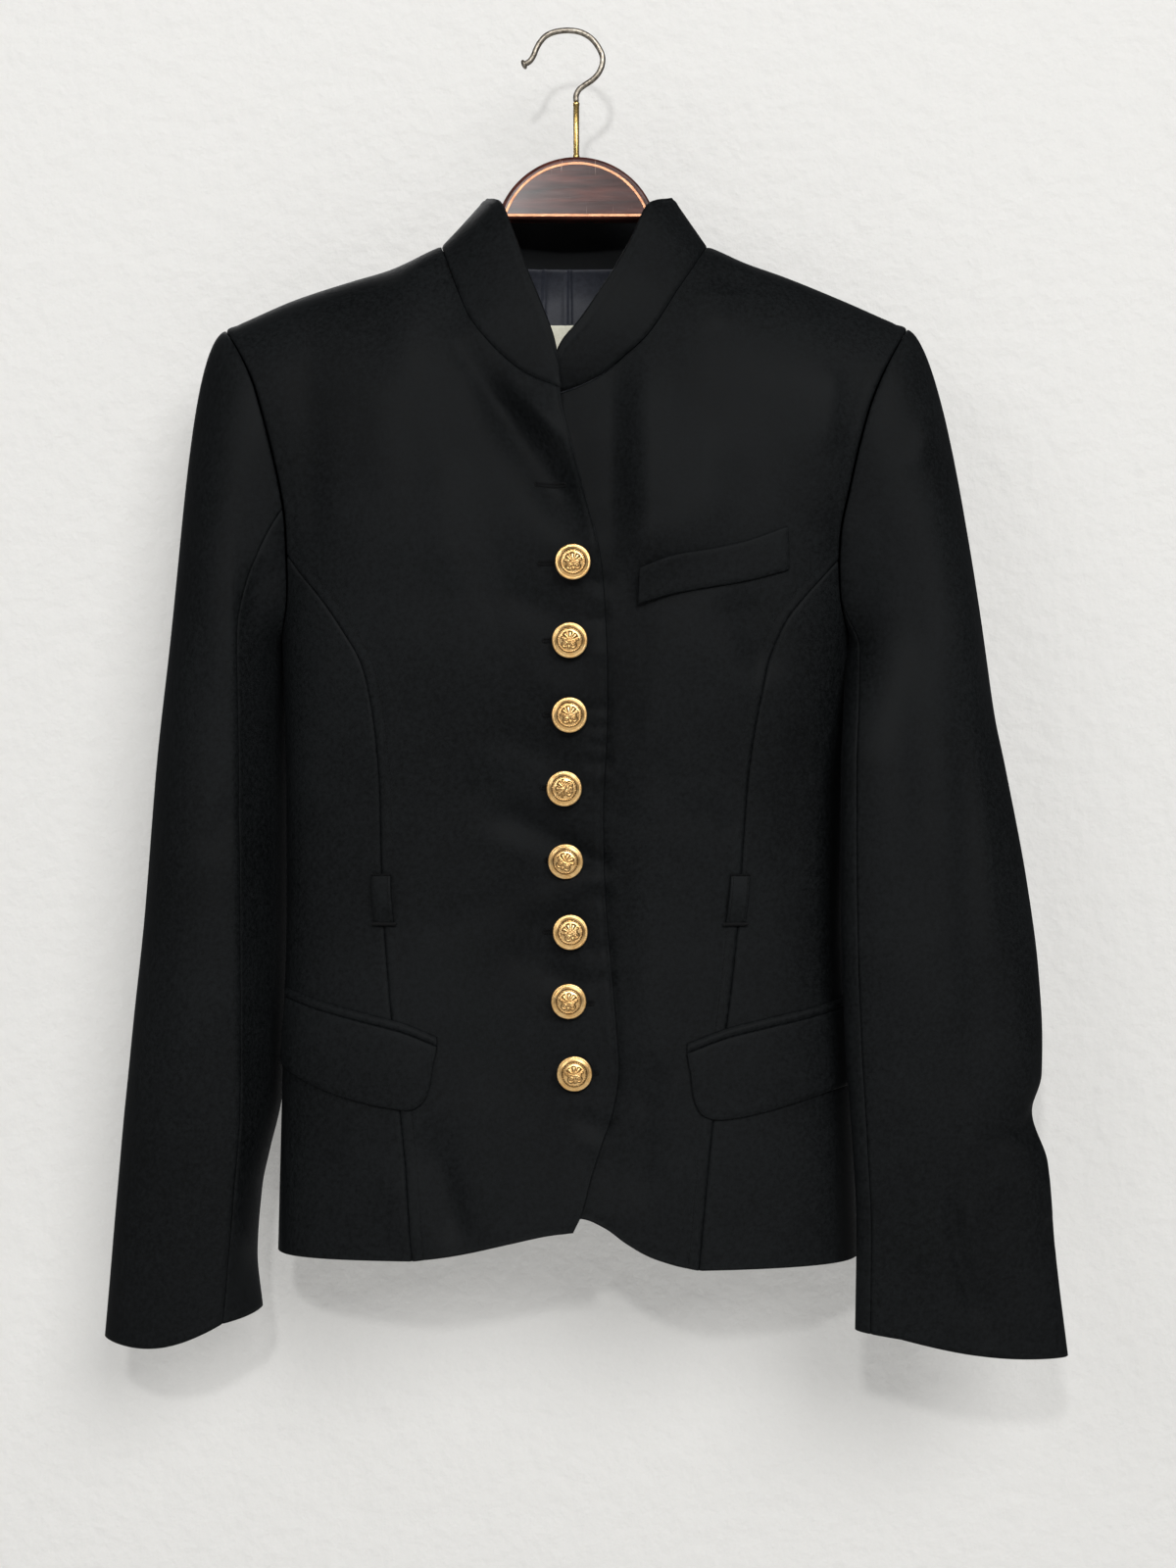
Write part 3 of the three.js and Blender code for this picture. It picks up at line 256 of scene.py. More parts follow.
# a material and its nodes: every socket is fed by a value or by another node's output
class Surface:
    def __init__(self, name):
        self.material = bpy.data.materials.new(name)
        self.material.use_nodes = True
        self.nodes = self.material.node_tree.nodes
        self.place = self.nodes.new("ShaderNodeTexCoord").outputs["Object"]

    def feed(self, node, values):
        for key, value in values.items():
            if isinstance(value, bpy.types.NodeSocket):
                self.material.node_tree.links.new(value, node.inputs[key])
            else:
                node.inputs[key].default_value = value

    def add(self, kind, values, output, **settings):
        node = self.nodes.new("ShaderNode" + kind)
        for key, value in settings.items():
            setattr(node, key, value)
        self.feed(node, values)
        return node.outputs[output]

    def shade(self, **values):
        self.feed(self.nodes["Principled BSDF"],
                  {key.replace("_", " "): value for key, value in values.items()})

    # noise in object coordinates, stretched along an axis by a share below 1
    def noise(self, scale, detail, stretch=(1, 1, 1), **more):
        place = self.add("Mapping", {"Vector": self.place, "Scale": stretch}, "Vector")
        return self.add("TexNoise", {"Vector": place, "Scale": scale, "Detail": detail, **more}, "Fac")

    def mix(self, kind, factor, first, second):
        values = {"Factor": factor, "A": first, "B": second}
        return self.add("Mix", values, "Result", data_type=kind)

    def ramp(self, factor, stops):
        color = self.add("ValToRGB", {"Fac": factor}, "Color")
        elements = color.node.color_ramp.elements
        while len(elements) < len(stops):
            elements.new(0.5)
        for element, (place, shade) in zip(elements, stops):
            element.position = place
            element.color = (*shade, 1)
        return color

    # roughness between two values, over the middle of a texture's range
    def rough(self, factor, low, high, margin):
        self.shade(Roughness=self.ramp(factor, [(margin, (low,) * 3), (1 - margin, (high,) * 3)]))

    # bump made of several heights, each node feeding the next one's normal
    def bumps(self, heights):
        normal = {}
        for height, strength, distance in heights:
            values = {"Height": height, "Strength": strength, "Distance": distance, **normal}
            normal = {"Normal": self.add("Bump", values, "Normal")}
        self.shade(**normal)


# twill: diagonal ribs in the cut's own measures, broken by a fine fuzz, over soft worn patches
def twillMaterial(name, look):
    surface = Surface(name)
    measures = surface.add("UVMap", {}, "UV", uv_map="cut")
    turn = {"Vector": measures, "Rotation": (0, 0, math.radians(look["ribTurn"]))}
    ribs = surface.add("TexWave", {
        "Vector": surface.add("Mapping", turn, "Vector"), "Scale": look["ribScale"],
        "Distortion": 0.6, "Detail": 1.0, "Detail Scale": 2.0}, "Fac")
    fuzz = surface.noise(1400, 3)
    slubs = surface.noise(420, 2)
    fibres = surface.mix("FLOAT", 0.5, slubs, fuzz)
    wearAndShade = surface.mix("FLOAT", 0.75, surface.noise(9, 4, Roughness=0.6), fibres)
    surface.shade(
        Base_Color=surface.ramp(wearAndShade, [(0.4, look["dark"]), (0.6, look["light"])]),
        Specular_IOR_Level=look["specular"], Sheen_Weight=look["sheen"],
        Sheen_Roughness=look["sheenRoughness"], Sheen_Tint=(*look["sheenTint"], 1))
    surface.rough(fibres, *look["rough"], 0.35)
    surface.bumps([(slubs, 0.12, 0.0003), (ribs, look["ribHeight"], 0.00008), (fuzz, 0.2, 0.00015)])
    return surface.material


clothOf = {
    "black_cloth": twillMaterial("blackTwill", {
        "dark": (0.0012, 0.0016, 0.0018), "light": (0.0060, 0.0070, 0.0076), "rough": (0.56, 0.74),
        "specular": 0.10, "sheen": 0.004, "sheenRoughness": 0.4, "sheenTint": (0.75, 0.8, 0.9),
        "ribScale": 0.55, "ribTurn": 27, "ribHeight": 0.35}),
    "navy_lining": twillMaterial("navyLining", {
        "dark": (0.015, 0.017, 0.024), "light": (0.026, 0.029, 0.040), "rough": (0.42, 0.55),
        "specular": 0.4, "sheen": 0.08, "sheenRoughness": 0.3, "sheenTint": (0.7, 0.75, 1.0),
        "ribScale": 0.7, "ribTurn": -30, "ribHeight": 0.35}),
    "label_cloth": twillMaterial("creamTape", {
        "dark": (0.78, 0.75, 0.60), "light": (0.88, 0.86, 0.72), "rough": (0.7, 0.85),
        "specular": 0.3, "sheen": 0.1, "sheenRoughness": 0.4, "sheenTint": (1.0, 0.97, 0.9),
        "ribScale": 0.5, "ribTurn": 90, "ribHeight": 0.6})}
threadCloth = twillMaterial("blackThread", {
    "dark": (0.0014, 0.0015, 0.0017), "light": (0.0026, 0.0027, 0.003), "rough": (0.5, 0.64),
    "specular": 0.14, "sheen": 0.004, "sheenRoughness": 0.3, "sheenTint": (0.8, 0.85, 0.95),
    "ribScale": 0.8, "ribTurn": 45, "ribHeight": 0.8})
print("cloth materials made")


# the form of the body: half widths and depths by height, and the shoulder ridge by x
body = {
    "sections": [
        {"z": -60, "right": 262, "left": 262, "front": 40, "back": 33},
        {"z": -130, "right": 262, "left": 262, "front": 45, "back": 38},
        {"z": -200, "right": 256, "left": 256, "front": 55, "back": 45},
        {"z": -240, "right": 223, "left": 220, "front": 60, "back": 48},
        {"z": -280, "right": 196, "left": 191, "front": 65, "back": 50},
        {"z": -320, "right": 181, "left": 176, "front": 68, "back": 50},
        {"z": -360, "right": 175, "left": 171.5, "front": 68, "back": 49},
        {"z": -420, "right": 173, "left": 169, "front": 64, "back": 46},
        {"z": -480, "right": 172, "left": 167.5, "front": 59, "back": 42},
        {"z": -540, "right": 172, "left": 167, "front": 56, "back": 40},
        {"z": -600, "right": 173.5, "left": 170, "front": 59, "back": 43},
        {"z": -660, "right": 175, "left": 173.6, "front": 63, "back": 47},
        {"z": -760, "right": 177.5, "left": 177, "front": 67, "back": 51}],
    "ridge": {
        "right": [(0, -107), (78, -131.5), (108, -145.4), (132, -152.6), (168, -164.5),
                  (198, -177.6), (209, -182.3), (262, -206)],
        "left": [(0, -107), (86, -132), (108, -141.6), (132, -150), (168, -164.5),
                 (198, -177.6), (209, -182.0), (262, -206)]},
    "roll": {"front": 90, "back": 48}, "power": 2.5, "hemRight": -742.5, "hemLeft": -745,
    "backHem": -734, "underarm": -371, "centreBack": 3, "thickness": 2.0}

sectionOf = {column: smoothTable(body["sections"], "z", column)
             for column in ("right", "left", "front", "back")}
ridgeOf = {side: smoothTable([{"x": x, "z": z} for x, z in rows], "x", "z")
           for side, rows in body["ridge"].items()}
sideNames = ("right", "left")


# half width of the body at a height, on the side where x lies
def halfWidth(x, z):
    return np.where(x < 0, sectionOf["right"](z), sectionOf["left"](z))


# height of the shoulder ridge over x
def ridgeHeight(x):
    return np.where(x < 0, ridgeOf["right"](np.abs(x)), ridgeOf["left"](np.abs(x)))


# girth from x: the arcsine of its share of the half width, over a quarter turn
def girthOf(x, z):
    return np.arcsin(np.clip(x / halfWidth(x, z), -1, 1)) / (np.pi / 2)


# body surface by girth (from -1 at the right side to 1 at the left) and height: x is the half
# width times the sine of the girth, y the depth times a rounded fall towards the sides, and a
# quarter ellipse rolls the top into the shoulder ridge
def bodyForm(face, girth, z):
    across = np.sin(np.clip(girth, -1, 1) * np.pi / 2)
    x = across * halfWidth(girth, z)
    fall = np.maximum(0, 1 - np.abs(across) ** body["power"]) ** (1 / body["power"])
    below = np.clip((ridgeHeight(x) - z) / body["roll"][face], 0, 1)
    y = sectionOf[face](z) * fall * np.sqrt(1 - (1 - below) ** 2)
    return np.stack([x, -y if face == "front" else y, np.broadcast_to(z, x.shape)], -1)


# normal of the body: the cross product of small steps round it and up it, without y on the ridge
# and at the sides
def bodyNormal(face, girth, z):
    g0, g1 = np.maximum(-1, girth - 0.004), np.minimum(1, girth + 0.004)
    x = bodyForm(face, girth, z)[..., 0]
    top = np.minimum(z + 0.6, ridgeHeight(x))
    around = bodyForm(face, g1, z) - bodyForm(face, g0, z)
    up = bodyForm(face, girth, top) - bodyForm(face, girth, z - 0.6)
    normal = unit(np.cross(around, up)) * (-1 if face == "back" else 1)
    level = (ridgeHeight(x) - z < 0.05) | (np.abs(girth) > 0.999)
    normal[..., 1] = np.where(level, 0, normal[..., 1])
    return unit(normal)


# soft troughs (negative) and ridges (positive): from x, z to x, z, width, height
creases = {
    "front": [
        (-46, -229, 10, -303, 11, -4.5), (-38, -219, -8, -258, 8, 3.2), (-74, -140, -62, -192, 9, -2.6),
        (-62, -192, -30, -246, 9, -2.2), (-154, -198, -152, -318, 13, -2.6),
        (60, -186, 63, -306, 12, -2.2), (109, -352, 118, -398, 11, -1.8), (156, -214, 152, -262, 8, 2.2),
        (96, -152, 103, -166, 8, -2.4), (-78, -658, -64, -730, 11, -2.4), (49, -628, 42, -706, 12, -2.2),
        (236, -420, 238, -620, 12, -3.0), (276, -650, 292, -664, 11, -4.0),
        (231, -712, 246, -786, 9, -2.4), (221, -232, 207, -258, 8, 2.0)],
    "back": [
        (-62, -190, -70, -330, 16, -2.4), (66, -200, 58, -345, 17, -2.6), (-96, -560, -84, -700, 15, -2.2),
        (98, -570, 110, -715, 14, -2.4)]}

# finer ones that only this surface has
fineCreases = {
    "front": [
        (-72, -262, -66, -340, 15, 2.4), (-42, -430, -16, -700, 50, -8.0),
        (204, -330, 214, -560, 15, -3.6), (238, -340, 248, -560, 9, 2.6), (-84, -152, -68, -198, 8, -2.6),
        (-68, -198, -40, -238, 7, -2.6), (-99, -150, -96, -222, 13, 2.4), (-26, -234, -2, -264, 5, 2.8),
        (-40, -348, 10, -370, 11, -1.7), (-24, -398, 6, -409, 9, 1.2), (-46, -430, 12, -453, 10, -2.0),
        (-44, -452, -10, -472, 12, 0.9), (-44, -474, 16, -504, 10, -4.4), (-24, -534, 22, -512, 8, 2.6),
        (-40, -558, 6, -572, 11, -1.5), (-14, -571, 10, -577, 7, -1.8), (11, -342, 26, -342, 4, -1.4),
        (12, -353, 26, -352, 4, 0.9), (10, -365, 26, -364, 4, -1.4), (11, -384, 26, -383, 5, 0.9),
        (10, -416, 26, -415, 3.4, -1.5), (10, -427, 26, -426, 3.4, -1.3), (11, -437, 26, -436, 3.4, -1.3),
        (10, -448, 26, -446, 4, -1.6), (11, -456, 26, -456, 4, 1.0), (8, -502, 26, -509, 5.5, -3.0),
        (11, -524, 26, -528, 5, -1.6), (10, -558, 28, -556, 5, -1.4), (9, -577, 28, -574, 5, -1.2),
        (4, -654, 26, -663, 6, -1.4), (8, -668, 20, -674, 5, 0.8), (44, -357, 38, -440, 9, -2.2),
        (62, -184, 64, -306, 13, 0.7), (84, -164, 90, -190, 10, 1.2), (96, -350, 116, -392, 12, -2.4),
        (50, -442, 70, -488, 9, -1.1), (78, -472, 96, -490, 8, -0.8), (64, -632, 50, -664, 7, 0.8),
        (56, -628, 44, -652, 7, -0.8), (30, -620, 24, -700, 18, -2.6), (-198, -340, -195, -745, 3.5, 1.6),
        (-187, -352, -185, -735, 8, -2.8), (-180, -330, -188, -368, 7, -3.4),
        (222, -700, 227, -732, 4, -2.6), (227, -732, 238, -771, 4.5, -2.6), (232, -704, 240, -750, 5, 1.6),
        (282, -675, 286, -690, 6, -2.6), (284, -716, 287, -732, 6, -2.4), (262, -662, 290, -672, 5, -2.8),
        (216, -250, 203, -273, 7, 2.2), (-84, -668, -62, -728, 9, -2.4), (-100, -690, -92, -732, 9, 1.9),
        (-24, -452, -64, -470, 9, -0.9), (-22, -500, -58, -490, 8, 0.7), (-26, -520, -84, -548, 10, -0.8),
        (24, -474, 52, -486, 7, -0.6), (-120, -400, -150, -470, 14, -0.8),
        (140, -420, 128, -520, 14, -0.9), (-40, -560, -52, -640, 13, -0.8), (90, -250, 84, -318, 12, 0.8),
        (-112, -216, -104, -290, 12, 0.9), (-60, -300, -30, -360, 15, -1.0),
        (-226, -300, -222, -420, 12, -1.2), (-240, -520, -246, -640, 12, -1.0),
        (-232, -700, -240, -776, 9, 0.9), (250, -700, 262, -760, 8, -1.6), (212, -480, 214, -560, 10, 1.0),
        (262, -556, 268, -632, 8, 1.4), (246, -668, 276, -660, 7, -1.5), (248, -690, 280, -700, 8, 0.9),
        (-192, -470, -216, -500, 9, -1.2), (-196, -600, -226, -640, 10, -1.0)],
    "back": [
        (-20, -240, -30, -420, 14, -1.6), (24, -300, 30, -480, 15, -1.4),
        (-130, -300, -104, -440, 15, -2.4), (136, -310, 108, -450, 15, -2.2),
        (-64, -190, -76, -320, 13, -1.8), (70, -200, 60, -350, 14, -1.6), (-70, -470, 50, -492, 15, -2.0),
        (60, -600, 52, -720, 12, 1.6), (-120, -520, -60, -556, 13, -1.5), (128, -500, 70, -540, 12, -1.4),
        (-206, -420, -216, -600, 13, -1.8), (222, -430, 236, -600, 12, -1.9),
        (-228, -640, -246, -700, 10, 1.5), (236, -650, 256, -664, 9, -2.2),
        (-98, -600, -84, -720, 10, -1.8), (120, -610, 126, -720, 11, -1.6)]}


# and those of the right front alone, which rises to its edge where it stands off the left one
edgeCreases = [(14, -212, 38, -334, 46, 13.5), (-108, -230, -98, -350, 34, 2.0),
               (-46, -226, 6, -312, 15, -6.4), (-12, -276, 9, -318, 12, -3.4),
               (34, -372, 38, -650, 28, 4.0)]


# sum over the creases of height times a bell curve of the distance to the crease's line, which
# fades in and out towards both ends
def creaseHeight(rows, x, z):
    total = np.zeros_like(x)
    for ax, az, bx, bz, width, height in rows:
        dx, dz = bx - ax, bz - az
        along = np.clip(((x - ax) * dx + (z - az) * dz) / (dx * dx + dz * dz), -0.18, 1.18)
        away = np.hypot(x - ax - along * dx, z - az - along * dz) / width
        fade = smoothStep(along, -0.18, 0.25) * smoothStep(-along, -1.18, -0.75)
        total += height * fade * np.exp(-away * away)
    return total


# slow uneven swell of pressed cloth: three crossing sine waves
def swell(x, z, size=0.35):
    return size * (np.sin(x / 23 + z / 61) + np.sin(x / 41 - z / 37 + 1.3)
                   + 0.6 * np.sin(x / 13 + z / 19 + 2.1)) / 2


# a place of the dressed body: the form moved out along its normal by creases, swell and lift. The
# fine creases move both fronts alike, so that the one below never comes through the one above
def onBody(face, girth, z, lift=0.0, creaseShare=1.0):
    point = bodyForm(face, girth, z)
    normal = bodyNormal(face, girth, z)
    flat = 1 - (1 - np.abs(normal[..., 1])) ** 2
    x = point[..., 0]
    shared = creases[face] + (edgeCreases if face == "front" else [])
    height = (creaseHeight(shared, x, z) + swell(x, z)) * creaseShare
    height = height + creaseHeight(fineCreases[face], x, z)
    return point + normal * (height * flat + lift)[..., None], normal


# seam lines, as x and z
seams = {
    "right": {
        "frontEdge": [(3, -720.6), (8, -710), (13.5, -690), (20, -670), (26, -652), (29.5, -630),
                      (28, -600), (24.5, -560), (21.5, -520), (20.6, -473), (22.8, -424),
                      (22.4, -374), (18.5, -326), (10.5, -293), (2, -262), (-3.5, -240),
                      (-4.6, -229.5)],
        "hem": [(3, -720.6), (-12, -722.5), (-35, -727.5), (-64, -734), (-91, -738)],
        "princess": [(-91, -738), (-93.6, -701), (-98.2, -656), (-104, -598), (-108.6, -545),
                     (-110.6, -500), (-111.5, -455), (-115.5, -416), (-122, -388), (-133, -369),
                     (-146, -350.5), (-159, -335), (-168.4, -323)],
        "armholeFront": [(-168.4, -323), (-169.3, -300), (-172.2, -280), (-176.3, -260),
                         (-181.4, -239.5), (-187.6, -219.6), (-196.5, -201.5), (-209, -182.3)],
        "armholeUnder": [(-168.4, -323), (-168.2, -338), (-168.7, -350), (-170.6, -360),
                         (-172.8, -367)],
        "armholeBack": [(-172, -366), (-170, -352), (-169.5, -325), (-172, -290), (-178, -255),
                        (-187, -222), (-198, -198), (-209, -182.3)],
        "neckFront": [(-4.6, -229.5), (-23.5, -220), (-35, -211), (-47, -198.5), (-58, -183.5),
                      (-66.5, -163.5), (-72.5, -147), (-77.8, -131.5)],
        "neckBack": [(3, -139), (-12, -139), (-30, -138), (-48, -136.4), (-62, -134.4),
                     (-77.8, -131.5)]},
    "left": {
        "frontEdge": [(-4, -716), (-14, -690), (-21, -655), (-22, -600), (-21, -500), (-21, -400),
                      (-19, -320), (-13, -260), (-9.5, -229)],
        "hem": [(-4, -716), (8, -713), (22, -718.5), (34, -727), (47, -734.4), (62, -739.6),
                (77, -743)],
        "princess": [(77, -743), (80.4, -706), (85.3, -658), (93.3, -603), (100.3, -545),
                     (103.5, -497), (107, -452), (112.7, -415), (120, -386), (129.5, -363),
                     (140, -349.5), (150, -338.5), (161.6, -326)],
        "armholeFront": [(161.6, -326), (162.8, -307), (167.5, -284), (173.6, -256),
                         (180.8, -231.6), (190, -210.5), (198.5, -195), (207, -181.2)],
        "armholeUnder": [(161.6, -326), (162.1, -339), (163.4, -351), (166.2, -361),
                         (168.7, -367)],
        "armholeBack": [(168.6, -366), (166.6, -352), (165, -325), (168, -290), (175, -255),
                        (184, -222), (195, -198), (207, -181.2)],
        "neckFront": [(-9.5, -229), (6, -223.5), (20.5, -216), (34.5, -204.6), (45.5, -194.5),
                      (55, -181.5), (65, -165.5), (75, -150), (85.5, -131.9)],
        "neckBack": [(3, -139), (20, -139.2), (38, -138.4), (55, -136.8), (70, -134.9),
                     (85.5, -131.9)]}}


# the seam lines of one side as functions of their share, with their shoulder ends on the ridge
def seamLines(side):
    rows = seams[side]
    sign = -1 if side == "right" else 1
    hem = body["hemRight" if side == "right" else "hemLeft"]
    sideX = lambda z: sign * sectionOf[side](z)
    onRidge = lambda points: points[:-1] + [(points[-1][0], float(ridgeHeight(points[-1][0])))]
    underarm = (float(sideX(body["underarm"])), body["underarm"])
    neckX, tipX = rows["neckFront"][-1][0], rows["armholeFront"][-1][0]

    def sideSeam(t):
        z = hem + np.asarray(t) * (body["underarm"] - hem)
        return np.stack([sideX(z), z], -1)

    def shoulder(t):
        x = neckX + (tipX - neckX) * np.asarray(t)
        return np.stack([x, ridgeHeight(x)], -1)

    def sideHem(t):
        x0, z0 = rows["princess"][0]
        share = np.sin(np.asarray(t) * np.pi / 2) ** 0.8
        return np.stack([x0 + (sideX(hem) - x0) * share, z0 + (hem - z0) * np.asarray(t)], -1)

    def centreBack(t):
        z = body["backHem"] + (rows["neckBack"][0][1] - body["backHem"]) * np.asarray(t)
        return np.stack([np.full(z.shape, body["centreBack"]), z], -1)

    def backHem(t):
        z = body["backHem"] + (hem - body["backHem"]) * smoothStep(np.asarray(t), 0, 1)
        start = girthOf(np.float64(body["centreBack"]), z)
        return np.stack([np.sin((start + (sign - start) * t) * np.pi / 2) * np.abs(sideX(z)), z], -1)

    lines = {name: through(rows[name]) for name in ("frontEdge", "hem", "princess")}
    lines["armholeFront"] = through(onRidge(rows["armholeFront"]))
    lines["armholeUnder"] = through(rows["armholeUnder"] + [underarm])
    lines["armholeBack"] = through(onRidge([underarm] + rows["armholeBack"]))
    lines["neckFront"] = through(onRidge(rows["neckFront"]))
    lines["neckBack"] = through(onRidge(rows["neckBack"]))
    return {**lines, "sideSeam": sideSeam, "shoulder": shoulder, "sideHem": sideHem,
            "centreBack": centreBack, "backHem": backHem}


lineOf = {side: seamLines(side) for side in sideNames}


# places between four seam lines, in girth and height: the mean of both pairs of sides, less the
# blend of the corners (a Coons patch)
def patchPlaces(sides, u, v):
    def place(line, t):
        xz = line(t)
        return np.stack([girthOf(xz[..., 0], xz[..., 1]), xz[..., 1]], -1)
    bottom, top = place(sides["bottom"], u)[None], place(sides["top"], u)[None]
    start, end = place(sides["start"], v)[:, None], place(sides["end"], v)[:, None]
    uu, vv = u[None, :, None], v[:, None, None]
    corners = (1 - vv) * ((1 - uu) * bottom[:, :1] + uu * bottom[:, -1:])
    corners = corners + vv * ((1 - uu) * top[:, :1] + uu * top[:, -1:])
    blend = (1 - vv) * bottom + vv * top + (1 - uu) * start + uu * end - corners
    return blend[..., 0], blend[..., 1]


# fronts, side fronts and backs
panelShape = {"seamShare": 15 / 22, "neckShare": {"front": 6 / 12, "back": 5 / 11}, "step": 2.45,
              "underlap": 3.1, "fallBack": 8.0, "covered": (24, 82), "parted": (-325, -285),
              "creased": (24, 50), "ease": {"across": 0.06, "down": 0.03, "passes": 73}}


# the left front lies one layer in under the right one, and falls back where they part
def underFrontLift(x, z):
    covered = 1 - smoothStep(x, *panelShape["covered"])
    parted = smoothStep(z, *panelShape["parted"])
    return -covered * (panelShape["underlap"] + panelShape["fallBack"] * parted)


# the seam lines round a front or a back: the outer side is a seam and then the armhole, the top
# is the neck and then the shoulder
def panelSides(face, bottom, start, seam, armhole, neck, line):
    return {"bottom": line[bottom], "start": line[start],
            "end": joined(line[seam], line[armhole], panelShape["seamShare"]),
            "top": joined(line[neck], line["shoulder"], panelShape["neckShare"][face])}


# how far a front is lifted, and the share of the main creases that it takes
def frontLift(side, x, z):
    if side == "right":
        return 0.0, 1.0
    return underFrontLift(x, z), smoothStep(x, *panelShape["creased"])


# inside a grid, lines that carry a corner of its edge inward are eased by repeated averaging of
# neighbours along each column; the edges stay where they are
def easedInside(values, u, v):
    ease = panelShape["ease"]
    inside = smoothStep(0.5 - np.abs(u - 0.5), 0, ease["across"])[None]
    inside = inside * smoothStep(0.5 - np.abs(v - 0.5), 0, ease["down"])[:, None]
    values = values.copy()
    for _ in range(ease["passes"]):
        middle = (values[:-2] + values[2:]) / 2
        values[1:-1] += inside[1:-1] * (middle - values[1:-1]) * 0.5
    return values


# places and normals on the dressed body for the grid between four seam lines
def panelGrid(face, sides, mesh, lift=lambda x, z: (0.0, 1.0)):
    u, v = (gridLines(length, panelShape["step"]) for length in mesh)
    girth, z = patchPlaces(sides, u, v)
    if face == "back":
        girth, z = easedInside(girth, u, v), easedInside(z, u, v)
    moved, share = lift(bodyForm(face, girth, z)[..., 0], z)
    return onBody(face, girth, z, moved, share)


# the seam allowance stands a little proud beside the princess seam, up to its topstitching, and
# a line of pressing follows the front edge
panelCuts = {
    "front": {"flat": (0.225, 0.61), "area": {"right": 0.0875, "left": 0.0885},
              "mesh": (190, 590), "open": {"first": 0, "start": 0},
              "rolls": [("end", 3.4, 3.0, 0.24), ("end", 6.9, 0.8, -0.34), ("start", 2.2, 0.8, -0.4),
                        ("start", 4.6, 2.2, 0.3), ("first", 2.4, 1.0, -0.2)]},
    "sideFront": {"flat": (0.115, 0.43), "area": {"right": 0.0335, "left": 0.0335},
                  "mesh": (110, 400), "open": {"first": 0}},
    "back": {"flat": (0.25, 0.62), "area": {"right": 0.113, "left": 0.111},
             "mesh": (230, 600), "open": {"first": 0}}}


# a panel of the body between its seam lines; edges that are not sewn are neither drawn in nor sunk
def panelPiece(kind, side, sides, restsOn, *lift):
    cut = panelCuts[kind]
    grid = panelGrid("back" if kind == "back" else "front", sides, cut["mesh"], *lift)
    clothPiece(f"{kind}{side.title()}", grid, {
        **cut, "area": cut["area"][side], "thickness": body["thickness"],
        "inset": cut["open"], "sink": cut["open"]})


for side in sideNames:
    line = lineOf[side]
    panelPiece("front", side,
               panelSides("front", "hem", "frontEdge", "princess", "armholeFront", "neckFront", line),
               ["hanger_wood"], lambda x, z: frontLift(side, x, z))
    panelPiece("sideFront", side,
               {"bottom": line["sideHem"], "start": line["princess"], "end": line["sideSeam"],
                "top": line["armholeUnder"]}, [f"front{side.title()}"])
    panelPiece("back", side,
               panelSides("back", "backHem", "centreBack", "sideSeam", "armholeBack", "neckBack", line),
               ["hanger_wood"])
print("body panels made")


# sleeves: sections from the biceps down to the cuff
sleeve = {
    "sections": {
        "right": [
            (-380, -244, -204, -174, 3, 8, -49, 50), (-450, -251.6, -203, -173.4, 3, 24, -46, 52),
            (-540, -258.8, -202.5, -173.5, 2, 28, -44, 49), (-600, -265, -202.5, -174.5, 0, 27, -42, 46),
            (-636, -268.3, -202.5, -176, -2, 22, -40, 40), (-665, -271, -202.5, -177.8, -4, 16, -39, 35),
            (-700, -273.8, -203, -184.6, -6, 8, -38, 29), (-720, -275.2, -203.5, -188.2, -8, 4, -38, 25),
            (-760, -278, -207, -190.5, -11, 0, -38, 17), (-793, -280.6, -213, -186.5, -13, -4, -38, 11)],
        "left": [
            (-380, 254, 212, 168, -4, -10, -54, 45), (-420, 259, 213.5, 164.2, -10, -38, -57.5, 40),
            (-450, 264, 216, 161.8, -17, -48, -60, 34), (-520, 275.5, 221, 161.2, -26, -48, -64, 24),
            (-570, 281, 224, 161.6, -31, -49, -66, 16), (-605, 282.4, 225, 162.8, -35, -50, -66, 9),
            (-632, 281.5, 226, 164, -38, -50, -66, 3), (-654, 275.5, 226, 165.5, -40, -51, -66, -2),
            (-684, 284.3, 226, 167.5, -43, -52, -66, -11), (-735, 288, 228, 169.8, -46, -52, -66, -24),
            (-796, 294.8, 231, 169, -49, -52, -65, -34)]},
    "columns": ("z", "outer", "ridge", "inner", "outerY", "innerY", "frontY", "backY"),
    "biceps": -380, "cuff": {"right": -793, "left": -796}, "rise": {"right": 15, "left": 16},
    "sag": {"right": 8, "left": 3.5}, "frontPower": 1.9, "backPower": 2.05,
    "foreSeam": {"right": 0.3, "left": 0.42}, "hindSeam": 0.8, "crownReach": {"right": 64, "left": 60},
    "thickness": 1.6, "gap": 0.5, "step": 2.6, "mesh": {"top": 170, "under": 120}, "levels": 158,
    "cuts": {"top": {"flat": (0.21, 0.66), "area": 0.108}, "under": {"flat": (0.15, 0.5), "area": 0.054}}}


